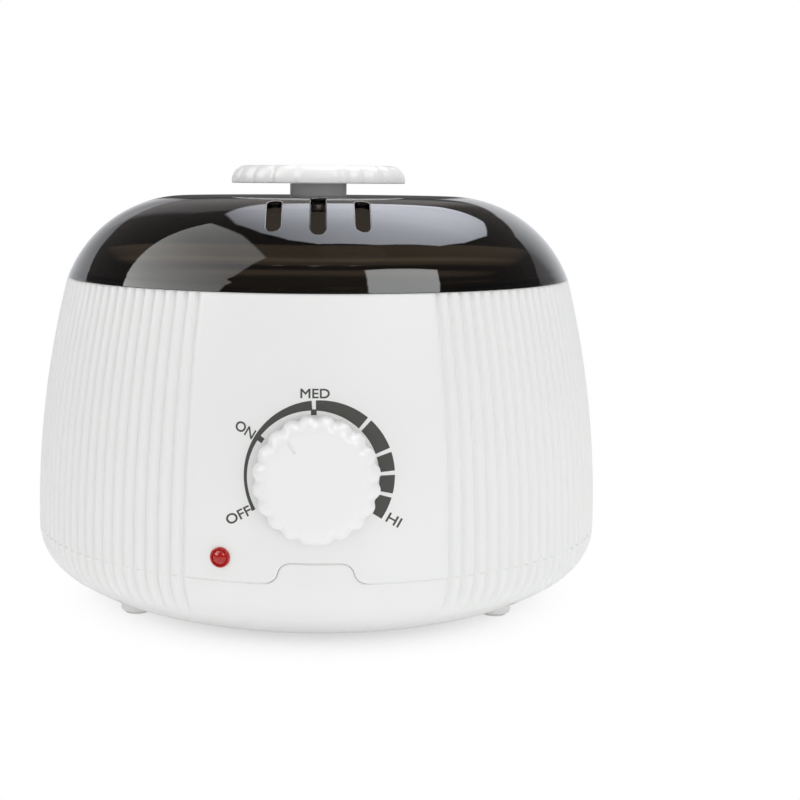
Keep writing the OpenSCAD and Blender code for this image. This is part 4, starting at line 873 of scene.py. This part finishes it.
BACK_LEFT = [(-1.32, -0.1), (-0.12, -0.1), (-0.14, 0.28), (-0.3, 0.385), (-0.6, 0.44), (-0.9, 0.39),
             (-1.12, 0.32), (-1.3, 0.12)]
BACK_MIDDLE = [(-0.4, 0.3), (0.2, 0.3), (0.2, 1.0), (-0.2, 1.0), (-0.4, 0.9)]
CRISP, SOFT, SOFTEST = 0.012, 0.02, 0.06  # half widths of the boxes' edges

# The low warm wall all round the front, as levels from its foot up: a pale line, a gap, a bright rail and
# a brown wall
WARM_WALL = [(0.0, 0.1), (0.1, 0.2), (0.2, 0.62), (0.27, 0.5), (0.34, 0.05), (0.4, 0.05), (0.46, 0.42),
             (0.52, 0.6), (0.59, 1.0), (0.64, 0.7), (0.7, 0.52), (0.95, 0.45), (1.0, 0.0)]

# Levels of the boxes, 1 being white
LONG_MIDDLE, LONG_PEAK, LONG_DROP = 0.35, 4.9, -7.0  # across, and how fast both ends fall off
LONG_FAR = {1: 0.6, 2: 1.4, 3: 1.0, 4: 0.52}  # from near to far, and the share left there
LEFT_NEAR, LEFT_FROM, LEFT_GAIN = 1.85, -0.6, 1.9  # brightens towards its far end
LOW_TOP, LOW_FALL, LOW_TILT = 0.86, -2.2, -2.13  # falls off upwards, faster on the left
RIGHT_MIDDLE, RIGHT_PEAK, RIGHT_DROP, RIGHT_LEAST = 0.42, 0.9, -2.2, 0.3
RIGHT_BOX_LEVEL, MIDDLE_LEVEL, STUDIO_DARK = 5.8, 0.25, (0.1, 0.098, 0.1)
WARM_BEND, WARM_DEPTH = (-0.51, 0.46), (0.24, 0.3)  # over the square of across
WARM_SPAN, WARM_ENDS = {1: -1.1, 2: 1.2}, {1: 0.4, 2: 2.6, 3: 1.0, 4: 0.0}
BEHIND = {1: 0.3, 2: 0.6}  # the low boxes stand behind the object only
PLAIN_LEVEL, WHITE = (0.75, 0.75, 0.75, 1), (1, 1, 1, 1)


def box_mask(tree, across, away, corners, soft):
    """1 inside the corners' convex outline, 0 outside."""
    nearest = None
    for (u0, v0), (u1, v1) in zip(corners, corners[1:] + corners[:1]):
        length = math.hypot(u1 - u0, v1 - v0)
        nu, nv = (v0 - v1) / length, (u1 - u0) / length
        first = calc(tree, "MULTIPLY_ADD", across, nu, -nu * u0 - nv * v0)
        inside = calc(tree, "MULTIPLY_ADD", away, nv, first)
        nearest = inside if nearest is None else calc(tree, "MINIMUM", nearest, inside)
    return node(tree, RANGE, {0: nearest, 1: -soft, 2: soft}, interpolation_type="SMOOTHSTEP")


def white_world():
    """White to the eye and through glass; for gloss a studio of soft boxes; for plain light an even level."""
    world = bpy.data.worlds.new("studio")
    bpy.context.scene.world = world
    world.use_nodes = True
    tree = world.node_tree
    tree.nodes.clear()
    path = node(tree, "ShaderNodeLightPath").outputs
    seen = calc(tree, "MAXIMUM", path["Is Camera Ray"], path["Is Transmission Ray"])
    sky = node(tree, "ShaderNodeTexCoord").outputs["Generated"]
    aim = node(tree, "ShaderNodeSeparateXYZ", (sky,)).outputs
    rise = calc(tree, "MAXIMUM", aim["Z"], 0.02)
    across = calc(tree, "DIVIDE", aim["X"], rise)
    away = calc(tree, "DIVIDE", aim["Y"], rise)
    back = calc(tree, "MAXIMUM", aim["Y"], 0.02)
    side = calc(tree, "DIVIDE", aim["X"], back)
    up = calc(tree, "DIVIDE", aim["Z"], back)
    behind = node(tree, RANGE, {0: aim["Y"], **BEHIND}, interpolation_type="SMOOTHSTEP")

    # the long box fades to both ends and to its far side
    off = calc(tree, "POWER", calc(tree, "ADD", across, -LONG_MIDDLE), 2.0)
    high = node(tree, RANGE, {0: away, **LONG_FAR})
    hump = calc(tree, "MULTIPLY_ADD", off, LONG_DROP, LONG_PEAK)
    long_level = calc(tree, "MULTIPLY", hump, high)

    # the left one brightens to its far end, and the low ones dim upwards and to the sides
    far = calc(tree, "MAXIMUM", calc(tree, "MULTIPLY_ADD", across, -1.0, LEFT_FROM), 0.0)
    left_level = calc(tree, "MULTIPLY_ADD", far, LEFT_GAIN, LEFT_NEAR)
    fall = calc(tree, "MULTIPLY_ADD", side, LOW_TILT, LOW_FALL)
    low_level = calc(tree, "MULTIPLY_ADD", up, fall, LOW_TOP)
    aside = calc(tree, "POWER", calc(tree, "ADD", side, -RIGHT_MIDDLE), 2.0)
    right_hump = calc(tree, "MULTIPLY_ADD", aside, RIGHT_DROP, RIGHT_PEAK)
    right_level = calc(tree, "MAXIMUM", right_hump, RIGHT_LEAST)

    # the warm wall's height as the lid shows it: 0 at its foot, 1 at its top, with the same bend all round
    spread = calc(tree, "MULTIPLY", across, across)
    depth = calc(tree, "MULTIPLY_ADD", spread, *WARM_DEPTH)
    foot = calc(tree, "ADD", calc(tree, "MULTIPLY_ADD", spread, *WARM_BEND), away)
    wall = node(tree, RANGE, {0: calc(tree, "DIVIDE", foot, depth), **WARM_SPAN})
    bands = node(tree, "ShaderNodeFloatCurve", {"Value": wall})
    line = bands.mapping.curves[0]
    line.points[0].location, line.points[1].location = WARM_WALL[0], WARM_WALL[-1]
    for spot in WARM_WALL[1:-1]:
        line.points.new(*spot)
    bands.mapping.update()
    warm_level = calc(tree, "MULTIPLY", bands, node(tree, RANGE, {0: spread, **WARM_ENDS}))

    # each box's outline, level and colour, added up on the dark studio
    left = calc(tree, "MAXIMUM", box_mask(tree, across, away, LEFT_BOX, CRISP),
                box_mask(tree, across, away, LEFT_BOX_END, SOFT))
    boxes = [(box_mask(tree, across, away, LONG_BOX, CRISP), long_level, (0.94, 0.98, 1.08)),
             (left, left_level, (1.0, 1.0, 0.99)),
             (box_mask(tree, across, away, RIGHT_BOX, CRISP), RIGHT_BOX_LEVEL, (0.98, 1.0, 1.0)),
             (warm_level, 1.0, (1.0, 0.74, 0.46))]
    for corners, level, colour, soft in ((BACK_RIGHT, right_level, (0.97, 1.0, 1.04), CRISP),
                                         (BACK_LEFT, low_level, (0.97, 1.0, 1.05), CRISP),
                                         (BACK_MIDDLE, MIDDLE_LEVEL, (1.0, 0.97, 1.0), SOFTEST)):
        here = calc(tree, "MULTIPLY", behind, level)
        boxes.append((box_mask(tree, side, up, corners, soft), here, colour))
    gloss = STUDIO_DARK
    for mask, level, colour in boxes:
        lit = calc(tree, "MULTIPLY", mask, level)
        gloss = node(tree, VECTOR, (lit, colour, gloss), operation="MULTIPLY_ADD")
    plain = node(tree, "ShaderNodeMix", {0: path["Is Glossy Ray"], 6: PLAIN_LEVEL, 7: gloss},
                 data_type="RGBA").outputs[2]
    whole = node(tree, "ShaderNodeMix", {0: seen, 6: plain, 7: WHITE}, data_type="RGBA").outputs[2]
    background = node(tree, "ShaderNodeBackground", {"Color": whole, "Strength": 1.0})
    node(tree, "ShaderNodeOutputWorld", (background,))


TABLE_GLOW, TABLE_WHITE, TABLE_HALF, TABLE_DROP = 0.12, {1: 0.035, 2: 0.092}, 6, 0.0001


def white_floor():
    """Faintly lit table: it keeps the shadow near the object, and further off the eye sees plain white."""
    made, tree, shader, spot = principled(
        "light_table", Base_Color=linear("#FCFCFC"), Roughness=0.9,
        Emission_Color=WHITE, Emission_Strength=TABLE_GLOW)
    reach = node(tree, VECTOR, (spot,), operation="LENGTH").outputs["Value"]
    far = node(tree, RANGE, {0: reach, **TABLE_WHITE}, interpolation_type="SMOOTHSTEP")
    path = node(tree, "ShaderNodeLightPath").outputs
    eye = calc(tree, "MAXIMUM", path["Is Camera Ray"], path["Is Transmission Ray"])
    white = node(tree, "ShaderNodeEmission", {"Color": WHITE, "Strength": 1.0})
    share = calc(tree, "MULTIPLY", far, eye)
    mixed = node(tree, "ShaderNodeMixShader", (share, shader, white))
    tree.links.new(mixed.outputs[0], tree.get_output_node("ALL").inputs["Surface"])
    corners = ((-1, -1), (1, -1), (1, 1), (-1, 1))
    floor = mesh_object("floor", [(x * TABLE_HALF, y * TABLE_HALF, -TABLE_DROP) for x, y in corners],
                        [(0, 1, 2, 3)])
    floor.data.materials.append(made)


def lamp(name, place, aim, size, watts):
    """A round soft lamp that gloss doesn't show."""
    light = bpy.data.lights.new(name, "AREA")
    light.shape, light.size, light.energy = "DISK", size, watts
    made = in_scene(name, light)
    made.location = place
    made.rotation_euler = (Vector(aim) - Vector(place)).to_track_quat("-Z", "Y").to_euler()
    made.visible_glossy = False


white_world()
white_floor()
lamp("key", place=(0.4, -0.4, 2.2), aim=(0, 0, 0.08), size=0.8, watts=4.5)
lamp("front_fill", place=(0.5, -2.2, 0.1), aim=(0, 0, 0.06), size=1.0, watts=9.0)

bpy.context.scene.view_settings.view_transform = "Standard"
